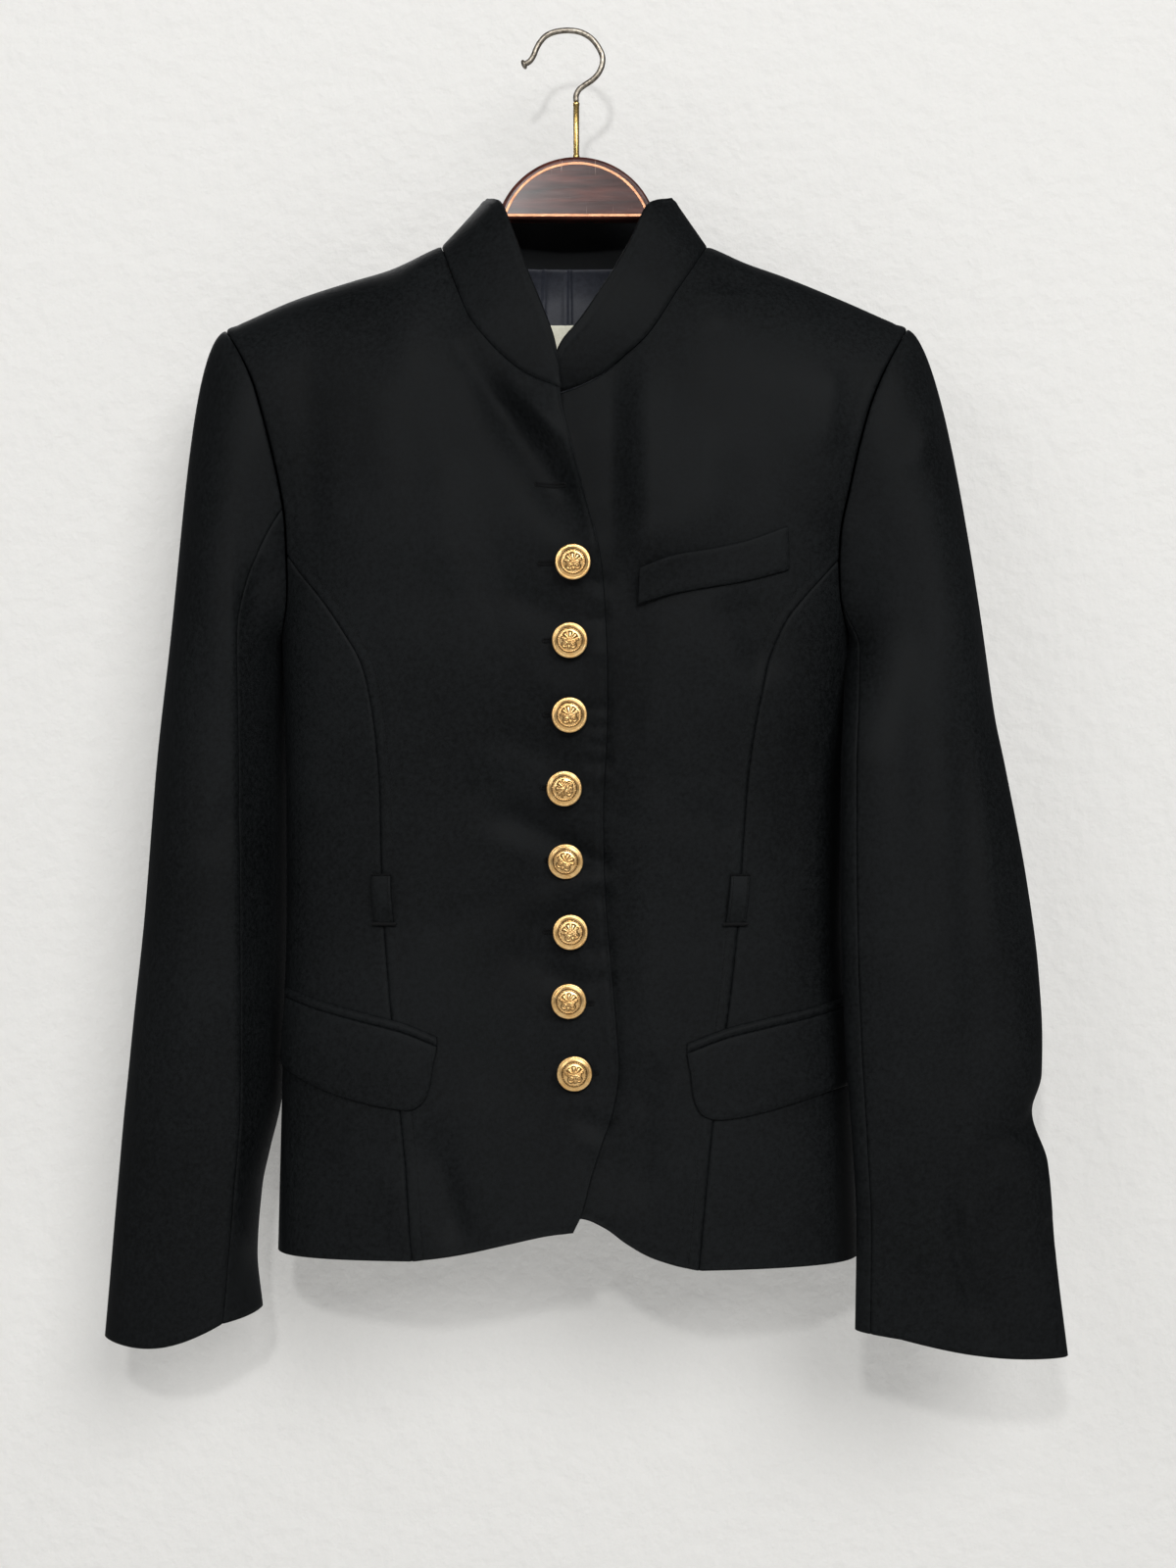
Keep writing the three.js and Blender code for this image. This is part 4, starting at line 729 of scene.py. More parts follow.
# a section of a sleeve: x and y from powers of the cosine and sine of the turn about a slanted
# midline, tilted and sagging more and more towards the cuff
def sleeveSection(side, turn, z):
    rows = [dict(zip(sleeve["columns"], row)) for row in sleeve["sections"][side]]
    value = {column: smoothTable(rows, "z", column)(z) for column in sleeve["columns"][1:]}
    cos, sin = np.cos(turn * 2 * np.pi), np.sin(turn * 2 * np.pi)
    power = 2 / np.where(sin >= 0, sleeve["frontPower"], sleeve["backPower"])
    ridge, span = value["ridge"], value["inner"] - value["outer"]
    reachX = np.where(cos >= 0, value["outer"] - ridge, ridge - value["inner"])
    x = ridge + reachX * np.sign(cos) * np.abs(cos) ** power
    share = (x - value["outer"]) / span
    slant = value["innerY"] - value["outerY"]
    middle = value["outerY"] + slant * (ridge - value["outer"]) / span
    reachY = np.where(sin >= 0, value["frontY"], value["backY"]) - middle
    y = value["outerY"] + slant * share + reachY * np.abs(sin) ** power
    low = smoothStep(-z, -sleeve["biceps"], -sleeve["cuff"][side])
    sag = sleeve["sag"][side] * np.sin(np.pi * np.clip(share / 0.8, 0, 1))
    return np.stack([x, y, z + low * (sleeve["rise"][side] * share - sag)], -1)


# the armhole as a closed line from the shoulder tip down the front, under the arm and up the back,
# with the turn round the sleeve that belongs to each of its points
def armhole(side):
    line = lineOf[side]
    front = line["armholeFront"](np.linspace(1, 0, 70))
    under = line["armholeUnder"](np.linspace(0, 1, 30))[1:]
    back = line["armholeBack"](np.linspace(0, 1, 70))[1:-1]
    places = np.vstack([front, under, back])
    underEnd = len(front) + len(under) - 1
    faces = np.where(np.arange(len(places)) <= underEnd, "front", "back")
    ring = np.empty((len(places), 3))
    for face in ("front", "back"):
        x, z = places[faces == face].T
        ring[faces == face] = onBody(face, girthOf(x, z), z)[0]
    closed = np.vstack([ring, ring[:1]])
    run = runAlong(closed)
    mark = run[underEnd]
    turns = np.where(run <= mark, 0.5 * run / mark, 0.5 + 0.5 * (run - mark) / (run[-1] - mark))
    return lambda w: np.stack([np.interp(w % 1, turns, closed[:, k]) for k in range(3)], -1)


# sleeve surface: the cap runs from the armhole to the widest section as a cubic that leaves the
# crown sideways and arrives along the arm; below it the sections follow one another
def sleeveGrid(side, turns):
    sign = -1 if side == "right" else 1
    start = armhole(side)(turns)
    biceps = sleeve["biceps"]
    end = sleeveSection(side, turns, np.float64(biceps))
    tip = float(armhole(side)(np.zeros(1))[0, 2])
    high = (start[:, 2] - body["underarm"]) / (tip - body["underarm"])
    distance = np.linalg.norm(end - start, axis=1)
    leave = unit(np.stack([sign * (0.2 + 0.8 * high), start[:, 1] / 110, 0.85 * high - 1.05], -1))
    leave *= np.minimum(sleeve["crownReach"][side], 0.9 * distance)[:, None]
    arrive = (sleeveSection(side, turns, np.float64(biceps - 10)) - end) * (distance / 10)[:, None]
    t = np.concatenate([[0, 0.008, 0.018], np.linspace(0.032, 1, 62)[:-1]])[:, None, None]
    s = 1 - t
    cap = start * s * s * (1 + 2 * t) + end * t * t * (3 - 2 * t) + leave * t * s * s - arrive * t * t * s
    levels = np.linspace(biceps, sleeve["cuff"][side], sleeve["levels"])[:, None]
    return np.vstack([cap, sleeveSection(side, turns[None], levels)])


for side in sideNames:
    fore, hind = sleeve["foreSeam"][side], sleeve["hindSeam"]
    for half, first, last in (("top", hind, 1 + fore), ("under", fore, hind)):
        across = gridLines(sleeve["mesh"][half], sleeve["step"])
        turns = first + (last - first) * across
        wide = np.concatenate([[turns[0] - 0.01], turns, [turns[-1] + 0.01]])
        points = sleeveGrid(side, wide)
        normals = gridNormals(points)
        row = len(points) // 2
        outward = np.sign(normals[row, :, 1].dot(points[row, :, 1] - points[row, :, 1].mean()))
        normals = (normals * outward)[:, 1:-1]
        points = points[:, 1:-1]
        x, z = points[..., 0], points[..., 2]
        height = np.where(normals[..., 1] < 0,
                          creaseHeight(creases["front"] + fineCreases["front"], x, z),
                          creaseHeight(creases["back"] + fineCreases["back"], x, z))
        grown = smoothStep(np.arange(len(points)), 0, 8)[:, None]
        height = (height + swell(x + 40, z)) * np.abs(normals[..., 1]) * grown
        points = points + normals * height[..., None]
        clothPiece(f"sleeve{side.title()}{half.title()}", (points, normals), {
            **sleeve["cuts"][half], "thickness": sleeve["thickness"],
            "inset": {"first": sleeve["gap"], "last": 0}, "sink": perEdge(0.5, 0, 0.5, 0.5)})
print("sleeves made")


# stand collar: its top edge, by the share of each part of it
collar = {
    "right": [
        (0, -3.9, -61, -214.5), (0.16, -7.7, -59.5, -199.5), (0.36, -15.5, -56, -178.5),
        (0.58, -24.5, -50, -156), (0.77, -33.5, -41, -131), (0.9, -42.5, -24, -108.5),
        (1, -50, -3, -101.6)],
    "back": [
        (0, -50, -3, -101.6), (0.15, -52.5, 8, -103.2), (0.4, -39, 25, -104.5),
        (0.7, -18, 34, -105.8), (1, 3, 37, -106.5), (1.35, 28, 34.5, -105.5),
        (1.65, 54, 24.5, -104.5), (1.87, 67.5, 10, -106), (2, 63.5, -4, -101.5)],
    "left": [
        (0, -8.5, -56, -213), (0.14, -3, -56, -200.5), (0.3, 7.5, -55, -187.5),
        (0.47, 18.6, -52, -170.4), (0.64, 29, -47, -153.5), (0.79, 38.5, -38, -134.5),
        (0.9, 50, -24, -109.5), (1, 63.5, -4, -101.5)],
    "bow": 1.2, "middleX": 4,
    "cut": {"flat": (0.5, 0.065), "area": 0.0255, "thickness": 2.6, "roll": 1.2,
            "inset": perEdge(0.1, 0, 0, 0), "sink": perEdge(0.7, 0.5, 0.5, 0.5),
            "rolls": [("last", 1.9, 0.6, -0.45), ("last", 3.8, 1.6, 0.25)]}}


# a place on the top edge, from its table
def collarTop(part, at):
    rows = [dict(zip(("at", "x", "y", "z"), row)) for row in collar[part]]
    return np.stack([smoothTable(rows, "at", axis)(at) for axis in "xyz"], -1)


# the neck seam from the right front round the back to the left front, and the edge above it
def neckSeam():
    t = np.linspace(0, 1, 61)
    parts = [("right", "neckFront", t), ("right", "neckBack", 1 - t),
             ("left", "neckBack", t), ("left", "neckFront", 1 - t)]
    seam, top = [], []
    for k, (side, name, share) in enumerate(parts):
        x, z = lineOf[side][name](share).T
        face = "back" if name == "neckBack" else "front"
        lift, creaseShare = frontLift(side, x, z) if face == "front" else (0.0, 1.0)
        seam.append(onBody(face, girthOf(x, z), z, lift, creaseShare)[0][0 if k == 0 else 1:])
        edge = {0: ("right", t), 1: ("back", t), 2: ("back", 1 + t), 3: ("left", 1 - t)}[k]
        top.append(collarTop(*edge)[0 if k == 0 else 1:])
    return np.vstack(seam), np.vstack(top)


# collar surface: straight lines from the seam to the top edge, bowed outward by half a sine wave,
# less and less towards the sides of the neck
def collarGrid():
    seam, top = neckSeam()
    v = gridLines(45, 1.6)[:, None, None]
    away = seam * (1, 1, 0) - (collar["middleX"], 0, 0)
    away = unit(away)
    bow = collar["bow"] - collar["bow"] * away[:, 0] ** 4
    points = seam * (1 - v) + top * v + away * bow[:, None] * np.sin(np.pi * v)
    normals = gridNormals(points)
    outward = np.sum(normals * away, -1, keepdims=True)
    return points, normals * np.where(outward > 0, 1, -1)


clothPiece("collarStand", collarGrid(), collar["cut"],
           node="collar")
print("collar made")


# a piece between a top and a bottom edge, both given as x and z, lifted off the panel under it
def appliedGrid(top, bottom, mesh, liftAt):
    length, height, step = mesh
    u, v = gridLines(length, step), gridLines(height, step)
    upper, lower = through(top)(u)[None], through(bottom)(u)[None]
    xz = lower + (upper - lower) * v[:, None, None]
    x, z = xz[..., 0], xz[..., 1]
    return onBody("front", girthOf(x, z), z, liftAt(u[None, :], v[:, None]))


# flap pockets
pocket = {
    "flapBottom": {
        "right": [(-172, -627.5), (-161, -633.5), (-145, -640), (-123, -646.2), (-104, -649.6),
                  (-92, -650.3), (-85, -646), (-81, -637), (-79, -625)],
        "left": [(170, -639.6), (155, -642), (141, -645.6), (117, -651.6), (99, -655),
                 (86, -655.6), (78.5, -652.6), (74.2, -645), (71.6, -629)]},
    "weltTop": {
        "right": [(-168.4, -582.5), (-145, -589), (-121, -594.6), (-96, -600.6), (-77, -608)],
        "left": [(167.4, -588), (141.5, -593.2), (117.4, -597.8), (92, -603.6), (70, -611.6)]},
    "weltDepth": 5.6, "gap": 0.35, "lean": 0.9, "inset": perEdge(0, 0, 0, 0), "flapMesh": (105, 42, 1.8),
    "weltMesh": (105, 5.6, 1.8),
    "flapCut": {"flat": (0.115, 0.05), "area": 0.0045, "thickness": 1.8, "roll": 1.2,
                "sink": perEdge(0.5, 0.3, 0.5, 0.5)},
    "weltCut": {"flat": (0.11, 0.01), "area": 0.00065, "thickness": 1.2, "roll": 1.2,
                "sink": perEdge(0.6, 0.6, 0.4, 0.4)}}


# a line moved straight down
def lowered(points, drop):
    return [(x, z - drop) for x, z in points]


# flaps and welts lift a little towards the front, the flap swells between its edges and the welt
# is arched
def flapLift(u, v):
    swellOut = 0.5 * np.sin(np.pi * u) * np.sin(np.pi * v)
    return pocket["gap"] + pocket["lean"] * (1 - u) + pocket["flapCut"]["thickness"] + swellOut


def weltLift(u, v):
    arch = pocket["weltCut"]["thickness"] * (0.8 + 0.5 * np.sin(np.pi * v))
    return pocket["gap"] + pocket["lean"] * (1 - u) + arch


for side in sideNames:
    weltTop, depth = pocket["weltTop"][side], pocket["weltDepth"]
    flapTop = lowered(weltTop, depth + pocket["gap"])
    grid = appliedGrid(flapTop, pocket["flapBottom"][side], pocket["flapMesh"], flapLift)
    clothPiece(f"pocketFlap{side.title()}", grid, {**pocket["flapCut"], "inset": pocket["inset"]})
    grid = appliedGrid(weltTop, lowered(weltTop, depth), pocket["weltMesh"], weltLift)
    clothPiece(f"flapWelt{side.title()}", grid, {**pocket["weltCut"], "inset": pocket["inset"]})

# welt of the breast pocket
chestPocket = {
    "top": [(41.6, -335), (61, -327.6), (84, -323), (104, -318), (128.6, -308.6)],
    "bottom": [(41, -355), (62, -348.6), (85.5, -344.2), (107, -340), (129.4, -333.6)],
    "mesh": (92, 22, 1.6), "lift": 1.05, "cut": {"flat": (0.094, 0.025), "thickness": 1.6, "roll": 1.1,
                          "inset": perEdge(0, 0, 0, 0), "sink": perEdge(0.5, 0.3, 0.4, 0.4)}}


# the welt stands its own thickness off the front, a little more along its middle
def chestLift(u, v):
    return chestPocket["lift"] + chestPocket["cut"]["thickness"] * (1 + 0.15 * np.sin(np.pi * v))


clothPiece("chestWelt", appliedGrid(chestPocket["top"], chestPocket["bottom"], chestPocket["mesh"],
                                    chestLift), chestPocket["cut"])

# belt loops
beltLoops = {
    "right": {"x": -108, "top": -513, "bottom": -542, "lean": -2},
    "left": {"x": 98.5, "top": -513, "bottom": -542, "lean": 3},
    "half": 5.5, "arch": 2.4, "gap": 0.35, "mesh": (11, 30, 0.9),
    "cut": {"flat": (0.011, 0.034), "thickness": 1.4, "roll": 0.8,
            "inset": perEdge(0, 0, 0, 0), "sink": perEdge(0.4, 0.4, 0.3, 0.3)}}


# a loop arches off the panel between its ends
def loopLift(u, v):
    return (beltLoops["gap"] + beltLoops["cut"]["thickness"]
            + beltLoops["arch"] * np.sin(np.pi * v) ** 0.7)


for side in sideNames:
    loop, half = beltLoops[side], beltLoops["half"]
    low = [(loop["x"] - half, loop["bottom"]), (loop["x"] + half, loop["bottom"])]
    high = [(x + loop["lean"], loop["top"]) for x, z in low]
    clothPiece(f"beltLoop{side.title()}", appliedGrid(high, low, beltLoops["mesh"], loopLift),
               beltLoops["cut"])
print("pockets and loops made")


# rods of thread, each lying along its own direction, thinner at both ends, and arched a little
def threadRods(name, place, along, normal, length, radius):
    ends = np.array([-1, -0.7, 0, 0.7, 1])
    thick = radius * np.array([0.35, 0.85, 1, 0.85, 0.35])
    rise = radius * 0.4 * (1 - ends ** 2)
    turn = np.linspace(0, 2 * np.pi, 6, endpoint=False)[:, None]
    side = np.cross(along, normal)
    spine = place[:, None] + along[:, None] * (ends * length / 2)[:, None]
    spine = spine + normal[:, None] * rise[:, None]
    ring = side[:, None] * np.cos(turn) + normal[:, None] * np.sin(turn)
    grid = spine[:, :, None] + ring[:, None] * thick[:, None, None]
    vertices = grid.reshape(-1, 3)
    number = np.arange(len(vertices)).reshape(len(place), 5, 6)
    nextSide = np.roll(number, -1, 2)
    quads = np.stack([number[:, :-1], nextSide[:, :-1], nextSide[:, 1:], number[:, 1:]], -1)
    caps = np.stack([number[:, 0, ::-1], number[:, -1]], 1).reshape(-1, 6)
    faces = facingOut(vertices, quads.reshape(-1, 4), caps)
    measures = np.stack([np.broadcast_to((ends * length / 2)[:, None], number.shape),
                         np.broadcast_to(np.arange(6) * radius, number.shape)], -1)
    addPiece(name, vertices, faces, threadCloth, None, measures.reshape(-1, 2))


# a direction laid into the surface, square to its normals
def laidFlat(along, normal):
    return unit(along - normal * np.sum(along * normal, -1, keepdims=True))


# a place on the dressed front of one side
def onFront(side, x, z, lift):
    moved, share = frontLift(side, x, z)
    return onBody("front", girthOf(x, z), z, moved + lift, share)


# a row of stitches beside a line of x and z, shifted sideways in the plane of the front
def stitchRow(name, side, line, look):
    fine = line(np.linspace(0, 1, 400))
    tangent = unit(np.gradient(fine, axis=0))
    fine = fine + np.stack([-tangent[:, 1], tangent[:, 0]], -1) * look["shift"][side]
    run = runAlong(fine)
    middle = np.arange(look["pitch"] / 2, run[-1], look["pitch"])
    at = lambda distance: onFront(side, np.interp(distance, run, fine[:, 0]),
                                  np.interp(distance, run, fine[:, 1]), look["lift"])
    place, normal = at(middle)
    along = unit(at(middle + 0.5)[0] - at(middle - 0.5)[0])
    threadRods(name, place, along, normal, look["length"], look["radius"])


princessStitch = {"pitch": 2.6, "length": 2.0, "radius": 0.2, "lift": -0.2,
                  "shift": {"right": -6.9, "left": 6.4}}
for side in sideNames:
    stitchRow(f"princessStitch{side.title()}", side, lineOf[side]["princess"], princessStitch)

# buttonholes: stitches set square to a long round-ended slit; x of both ends, and height
buttonholes = {"rows": [(-18.2, -1.7, -284.8), (-15.8, 6, -331.8), (-13.4, 6, -376.4),
                        (-13.2, 6, -419.6), (-14.6, 4, -462.3), (-12.6, 5, -505),
                        (-13.4, 6, -546.6), (-6, 14.6, -588), (-4, 17, -628.6)],
               "reach": 0.9, "pitch": 0.5, "length": 1.5, "radius": 0.22, "lift": 0.1}
arc = np.linspace(-np.pi / 2, np.pi / 2, 9)
for number, (x0, x1, z) in enumerate(buttonholes["rows"]):
    straight = x0 + np.arange(0, x1 - x0, buttonholes["pitch"])
    middle = np.concatenate([straight, straight, np.full(len(arc), x1), np.full(len(arc), x0)])
    outX = np.concatenate([np.zeros(2 * len(straight)), np.cos(arc), -np.cos(arc)])
    outZ = np.concatenate([np.ones(len(straight)), -np.ones(len(straight)), np.sin(arc), np.sin(arc)])
    place, normal = onFront("right", middle + buttonholes["reach"] * outX,
                            z + buttonholes["reach"] * outZ, buttonholes["lift"])
    out = laidFlat(np.stack([outX, np.zeros(len(outX)), outZ], -1), normal)
    threadRods(f"buttonhole{number}", place, out, normal, buttonholes["length"], buttonholes["radius"])

# belt loops: stitches along both long edges, and a thick bar of thread at either end
loopSewing = {
    "edge": 1.3, "proud": 0.05, "length": 2.0, "radius": 0.17, "barPitch": 0.55, "barLift": 1.9,
    "bars": {"top": {"half": 5.6, "length": 1.2, "radius": 0.3},
             "bottom": {"half": 6.9, "length": 2.3, "radius": 0.5}}}
for side in sideNames:
    loop = beltLoops[side]
    share = np.tile(np.linspace(0.08, 0.92, 11), 2)
    edge = np.repeat([-1, 1], 11) * (beltLoops["half"] - loopSewing["edge"])
    place, normal = onFront(side, loop["x"] + loop["lean"] * share + edge,
                            loop["bottom"] + (loop["top"] - loop["bottom"]) * share,
                            loopLift(0, share) + loopSewing["proud"])
    along = laidFlat(unit(np.array([loop["lean"] / beltLoops["mesh"][1], 0, 1.0])), normal)
    threadRods(f"loopStitch{side.title()}", place, along, normal,
               loopSewing["length"], loopSewing["radius"])
    for end, lean in (("top", loop["lean"]), ("bottom", 0)):
        bar = loopSewing["bars"][end]
        x = loop["x"] + lean + np.arange(-bar["half"], bar["half"] + 0.1, loopSewing["barPitch"])
        place, normal = onFront(side, x, np.full(x.shape, float(loop[end])), loopSewing["barLift"])
        threadRods(f"loopBar{side.title()}{end.title()}", place,
                   laidFlat(np.array([0, 0, 1.0]), normal), normal, bar["length"], bar["radius"])
print("threads made")


# lining and label inside the back neck
inside = {
    "lining": {"half": 48, "top": -135.4, "bottom": -232, "under": 3.9,
               "cut": {"flat": (0.1, 0.09), "thickness": 1.0, "sink": perEdge(0, 0.4, 0, 0)}},
    "label": {"half": 25, "top": -170.6, "bottom": -192, "under": 5.25,
              "cut": {"flat": (0.05, 0.0215), "thickness": 0.6, "roll": 0.7,
                      "inset": perEdge(0, 0, 0, 0), "sink": perEdge(0.15, 0.15, 0.15, 0.15)}},
    "step": 1.2,
    "pleats": [(-18.0, -130, -19.8, -232, 2.2, 0.8), (-15.4, -130, -16.8, -232, 0.8, -1.9),
               (-2.2, -130, -2.0, -232, 2.0, 0.8), (0.6, -130, 1.2, -232, 0.8, -1.9)]}


# a rectangle under the back, facing the neck, with pleats raised on it
def insideGrid(part, pleats):
    x0, step = body["centreBack"], inside["step"]
    edge = lambda z: [(x0 - part["half"], z), (x0, z), (x0 + part["half"], z)]
    u, v = gridLines(2 * part["half"], step), gridLines(part["top"] - part["bottom"], step)
    upper, lower = through(edge(part["top"]))(u)[None], through(edge(part["bottom"]))(u)[None]
    xz = lower + (upper - lower) * v[:, None, None]
    x, z = xz[..., 0], xz[..., 1]
    raised = part["cut"]["thickness"] + creaseHeight(pleats, x, z)
    points, normals = onBody("back", girthOf(x, z), z, -part["under"] - raised)
    return points, -normals


lining, label = inside["lining"], inside["label"]
clothPiece("neckLining", insideGrid(lining, inside["pleats"]), lining["cut"],
           slot="navy_lining")
clothPiece("neckLabel", insideGrid(label, []), label["cut"], slot="label_cloth")
print("lining and label made")


# metal: cloudy tone and fine grain, with painted shade: the colour darkens towards a dark recess shade
# where a mesh's relief value is low
def metalMaterial(name, look):
    surface = Surface(name)
    cloud = surface.noise(look["cloudScale"], 4)
    grain = surface.noise(look["grainScale"], 3)
    color = surface.ramp(cloud, [(0.35, look["dark"]), (0.65, look["light"])])
    if "recessShade" in look:
        # painted shade: a low relief value turns the colour to the dark recess shade
        height = surface.add("Attribute", {}, "Fac", attribute_name="relief")
        depth = surface.ramp(height, [(0, (0, 0, 0)), (0.35, (1, 1, 1))])
        color = surface.mix("RGBA", depth, (*look["recessShade"], 1), color)
    surface.shade(Base_Color=color, Metallic=1.0)
    surface.rough(grain, *look["rough"], 0.3)
    surface.bumps([(cloud, 0.2, 0.0004), (grain, look["grainBump"], 0.0002)])
    return surface.material


# the recess colour of the buttons is painted shade for the grooves round their motif
buttonMetal = metalMaterial("buttonGold", {
    "dark": (0.84, 0.50, 0.19), "light": (0.98, 0.66, 0.30), "recessShade": (0.30, 0.165, 0.06),
    "rough": (0.3, 0.42), "cloudScale": 260, "grainScale": 1800, "grainBump": 0.25})
stemMetal = metalMaterial("brassRod", {
    "dark": (0.50, 0.33, 0.10), "light": (0.66, 0.46, 0.17),
    "rough": (0.22, 0.34), "cloudScale": 120, "grainScale": 1500, "grainBump": 0.15})
hookMetal = metalMaterial("agedNickel", {
    "dark": (0.17, 0.145, 0.115), "light": (0.42, 0.38, 0.32),
    "rough": (0.3, 0.52), "cloudScale": 420, "grainScale": 1600, "grainBump": 0.5})
inlayMetal = metalMaterial("copperInlay", {
    "dark": (0.33, 0.15, 0.085), "light": (0.46, 0.23, 0.13),
    "rough": (0.35, 0.5), "cloudScale": 150, "grainScale": 1500, "grainBump": 0.2})


# varnished wood: long streaks across, from noise stretched along x, with fine pale scratches
def woodMaterial(name, look):
    surface = Surface(name)
    streaks = surface.noise(160, 5, (0.12, 1, 1), Distortion=0.3)
    pores = surface.noise(900, 3, (0.1, 1, 1), Distortion=0.3)
    scratches = surface.noise(700, 2, (1, 0.2, 0.06), Distortion=0.3)
    tone = surface.ramp(streaks, [(0.3, look["dark"]), (0.52, look["middle"]), (0.72, look["light"])])
    marks = surface.ramp(scratches, [(0.70, (0, 0, 0)), (0.74, (0.6, 0.6, 0.6))])
    surface.shade(Base_Color=surface.mix("RGBA", marks, tone, (*look["scratch"], 1)),
                  Specular_IOR_Level=0.15, Coat_Weight=0.12, Coat_Roughness=0.18)
    surface.rough(pores, *look["rough"], 0.3)
    surface.bumps([(streaks, 0.2, 0.0004), (pores, 0.3, 0.0002)])
    return surface.material


mahogany = woodMaterial("mahogany", {
    "dark": (0.014, 0.0035, 0.0025), "middle": (0.052, 0.012, 0.0085), "light": (0.12, 0.032, 0.022),
    "scratch": (0.26, 0.16, 0.13), "rough": (0.3, 0.42)})


# buttons
buttons = {
    "places": [  # x, z, turn of the motif and tilt about x and z, in degrees
        (3.3, -331.6, 4, 0, 0), (1.4, -376.3, -6, 1, 0), (1.1, -419.5, 9, 0, 1),
        (-1.9, -462.3, 88, 0, 0), (-1.0, -504.8, -24, 3, -2), (1.5, -546.7, 20, -3, 2),
        (0.7, -586.8, -3, 0, 0), (4.1, -628.7, 6, 2, 0)],
    "radius": 10.4, "gap": 0.35, "columns": 112,
    "faceFrom": 0.56, "backRows": 30, "faceRows": 38, "relief": 0.62,
    "profile": [(0, 0), (2.6, 0), (2.2, 2.6), (8.2, 3.0), (9.9, 3.6), (10.35, 4.2), (10.2, 4.9),
                (9.6, 5.25), (9.0, 5.2), (8.5, 5.5), (6.5, 6.65), (4, 7.5), (2, 7.9), (0, 8.05)],
    "faceRadius": 8.6}


# relief of the face, from 0 to 1: a fan of rays over a bar, two curled leaves with a bead under
# it, and a row of beads round them, each a bell curve of the distance to its own line
def buttonRelief(r, turn):
    x, y = r * np.sin(turn), r * np.cos(turn)
    bell = lambda distance, width: np.exp(-(distance / width) ** 2)
    fan = np.arctan2(y + 0.6, x)
    spread = np.hypot(x, y + 0.6)
    rays = np.abs(np.cos(4.5 * (fan - np.pi / 2))) ** 1.5 * smoothStep(y, 0.0, 0.9)
    rays = rays * smoothStep(spread, 1.2, 2.0) * (1 - smoothStep(spread, 5.0, 5.9))
    bar = bell(y + 0.5, 0.55) * (1 - smoothStep(np.abs(x), 3.6, 4.4))
    leaves = np.zeros_like(x)
    for sign in (-1, 1):
        away = np.hypot(x - sign * 2.3, y + 2.9)
        curl = np.arctan2(y + 2.9, sign * (x - sign * 2.3))
        leaves = np.maximum(leaves, bell(away - 1.45, 0.5) * smoothStep(curl, -2.6, -1.8))
        leaves = np.maximum(leaves, 0.8 * bell(away, 0.6))
    beads = np.maximum(bell(np.hypot(x, y + 4.4), 0.8), bell(np.hypot(x, y - 1.0), 0.9))
    ring = bell(r - 6.9, 0.42) * (0.35 + 0.65 * np.abs(np.cos(20 * turn)))
    total = np.maximum(np.maximum(rays, bar), np.maximum(leaves, beads))
    return np.clip(np.maximum(total, ring), 0, 1)


# a button: its profile turned round the axis, with the relief standing off the domed face
def buttonMesh(x, z, turn, tiltX, tiltZ):
    dome, faceRadius = buttons["faceFrom"], buttons["faceRadius"]
    share = np.concatenate([np.linspace(0, dome, buttons["backRows"])[1:-1],
                            np.linspace(dome, 1, buttons["faceRows"])[:-1]])[:, None]
    r, rise = np.moveaxis(through(buttons["profile"])(share), -1, 0)
    r = np.maximum(r, 0)
    around = np.linspace(0, 2 * np.pi, buttons["columns"], endpoint=False)[None]
    onFace = (share > dome) & (r < faceRadius)
    relief = np.where(onFace, buttonRelief(r, around + math.radians(turn)), 0)
    # painted shade: this value darkens the button's colour. It stays high on the flat face and the rim and
    # drops on the steep slopes round the motif, so that the motif's edges look shaded
    slope = np.abs(np.gradient(relief, axis=1)) * 6 + np.abs(np.gradient(relief, axis=0)) * 2.2
    wearAndShade = np.where(share > dome, np.clip(0.62 + 0.5 * relief - slope, 0, 1), 0.35)
    wearAndShade = np.where((r > faceRadius) & (share > 0.4), 0.9, wearAndShade)
    height = rise + buttons["relief"] * relief * smoothStep(faceRadius - r, 0, 0.8)
    points = np.stack([r * np.sin(around), -height, r * np.cos(around)], -1)
    number = numbered(points)
    vertices = np.vstack([points.reshape(-1, 3), [(0, 0, 0)], [(0, -height[-1].mean(), 0)]])
    tilt = np.radians([tiltX, tiltZ])
    c, s = np.cos(tilt), np.sin(tilt)
    aboutX = np.array([[1, 0, 0], [0, c[0], -s[0]], [0, s[0], c[0]]])
    aboutZ = np.array([[c[1], -s[1], 0], [s[1], c[1], 0], [0, 0, 1]])
    vertices = vertices @ aboutX.T @ aboutZ.T
    seat = onBody("front", girthOf(np.float64(x), z), np.float64(z))[0]
    faces = facingOut(vertices, quadsOf(number, closed=True), *poleFans(number))
    vertices += (x, seat[1] - buttons["gap"], z)
    return vertices, faces, np.concatenate([np.broadcast_to(wearAndShade, relief.shape).ravel(), [0.3, 1.0]])


for number, place in enumerate(buttons["places"], 1):
    vertices, faces, relief = buttonMesh(*place)
    button = addPiece(f"buttonDome{number}", vertices, faces, buttonMetal,
                      f"button_{number}")
    # the relief attribute carries the painted shade of the motif's slopes
    layer = button.data.attributes.new("relief", "FLOAT", "POINT")
    layer.data.foreach_set("value", relief)
print("buttons made")


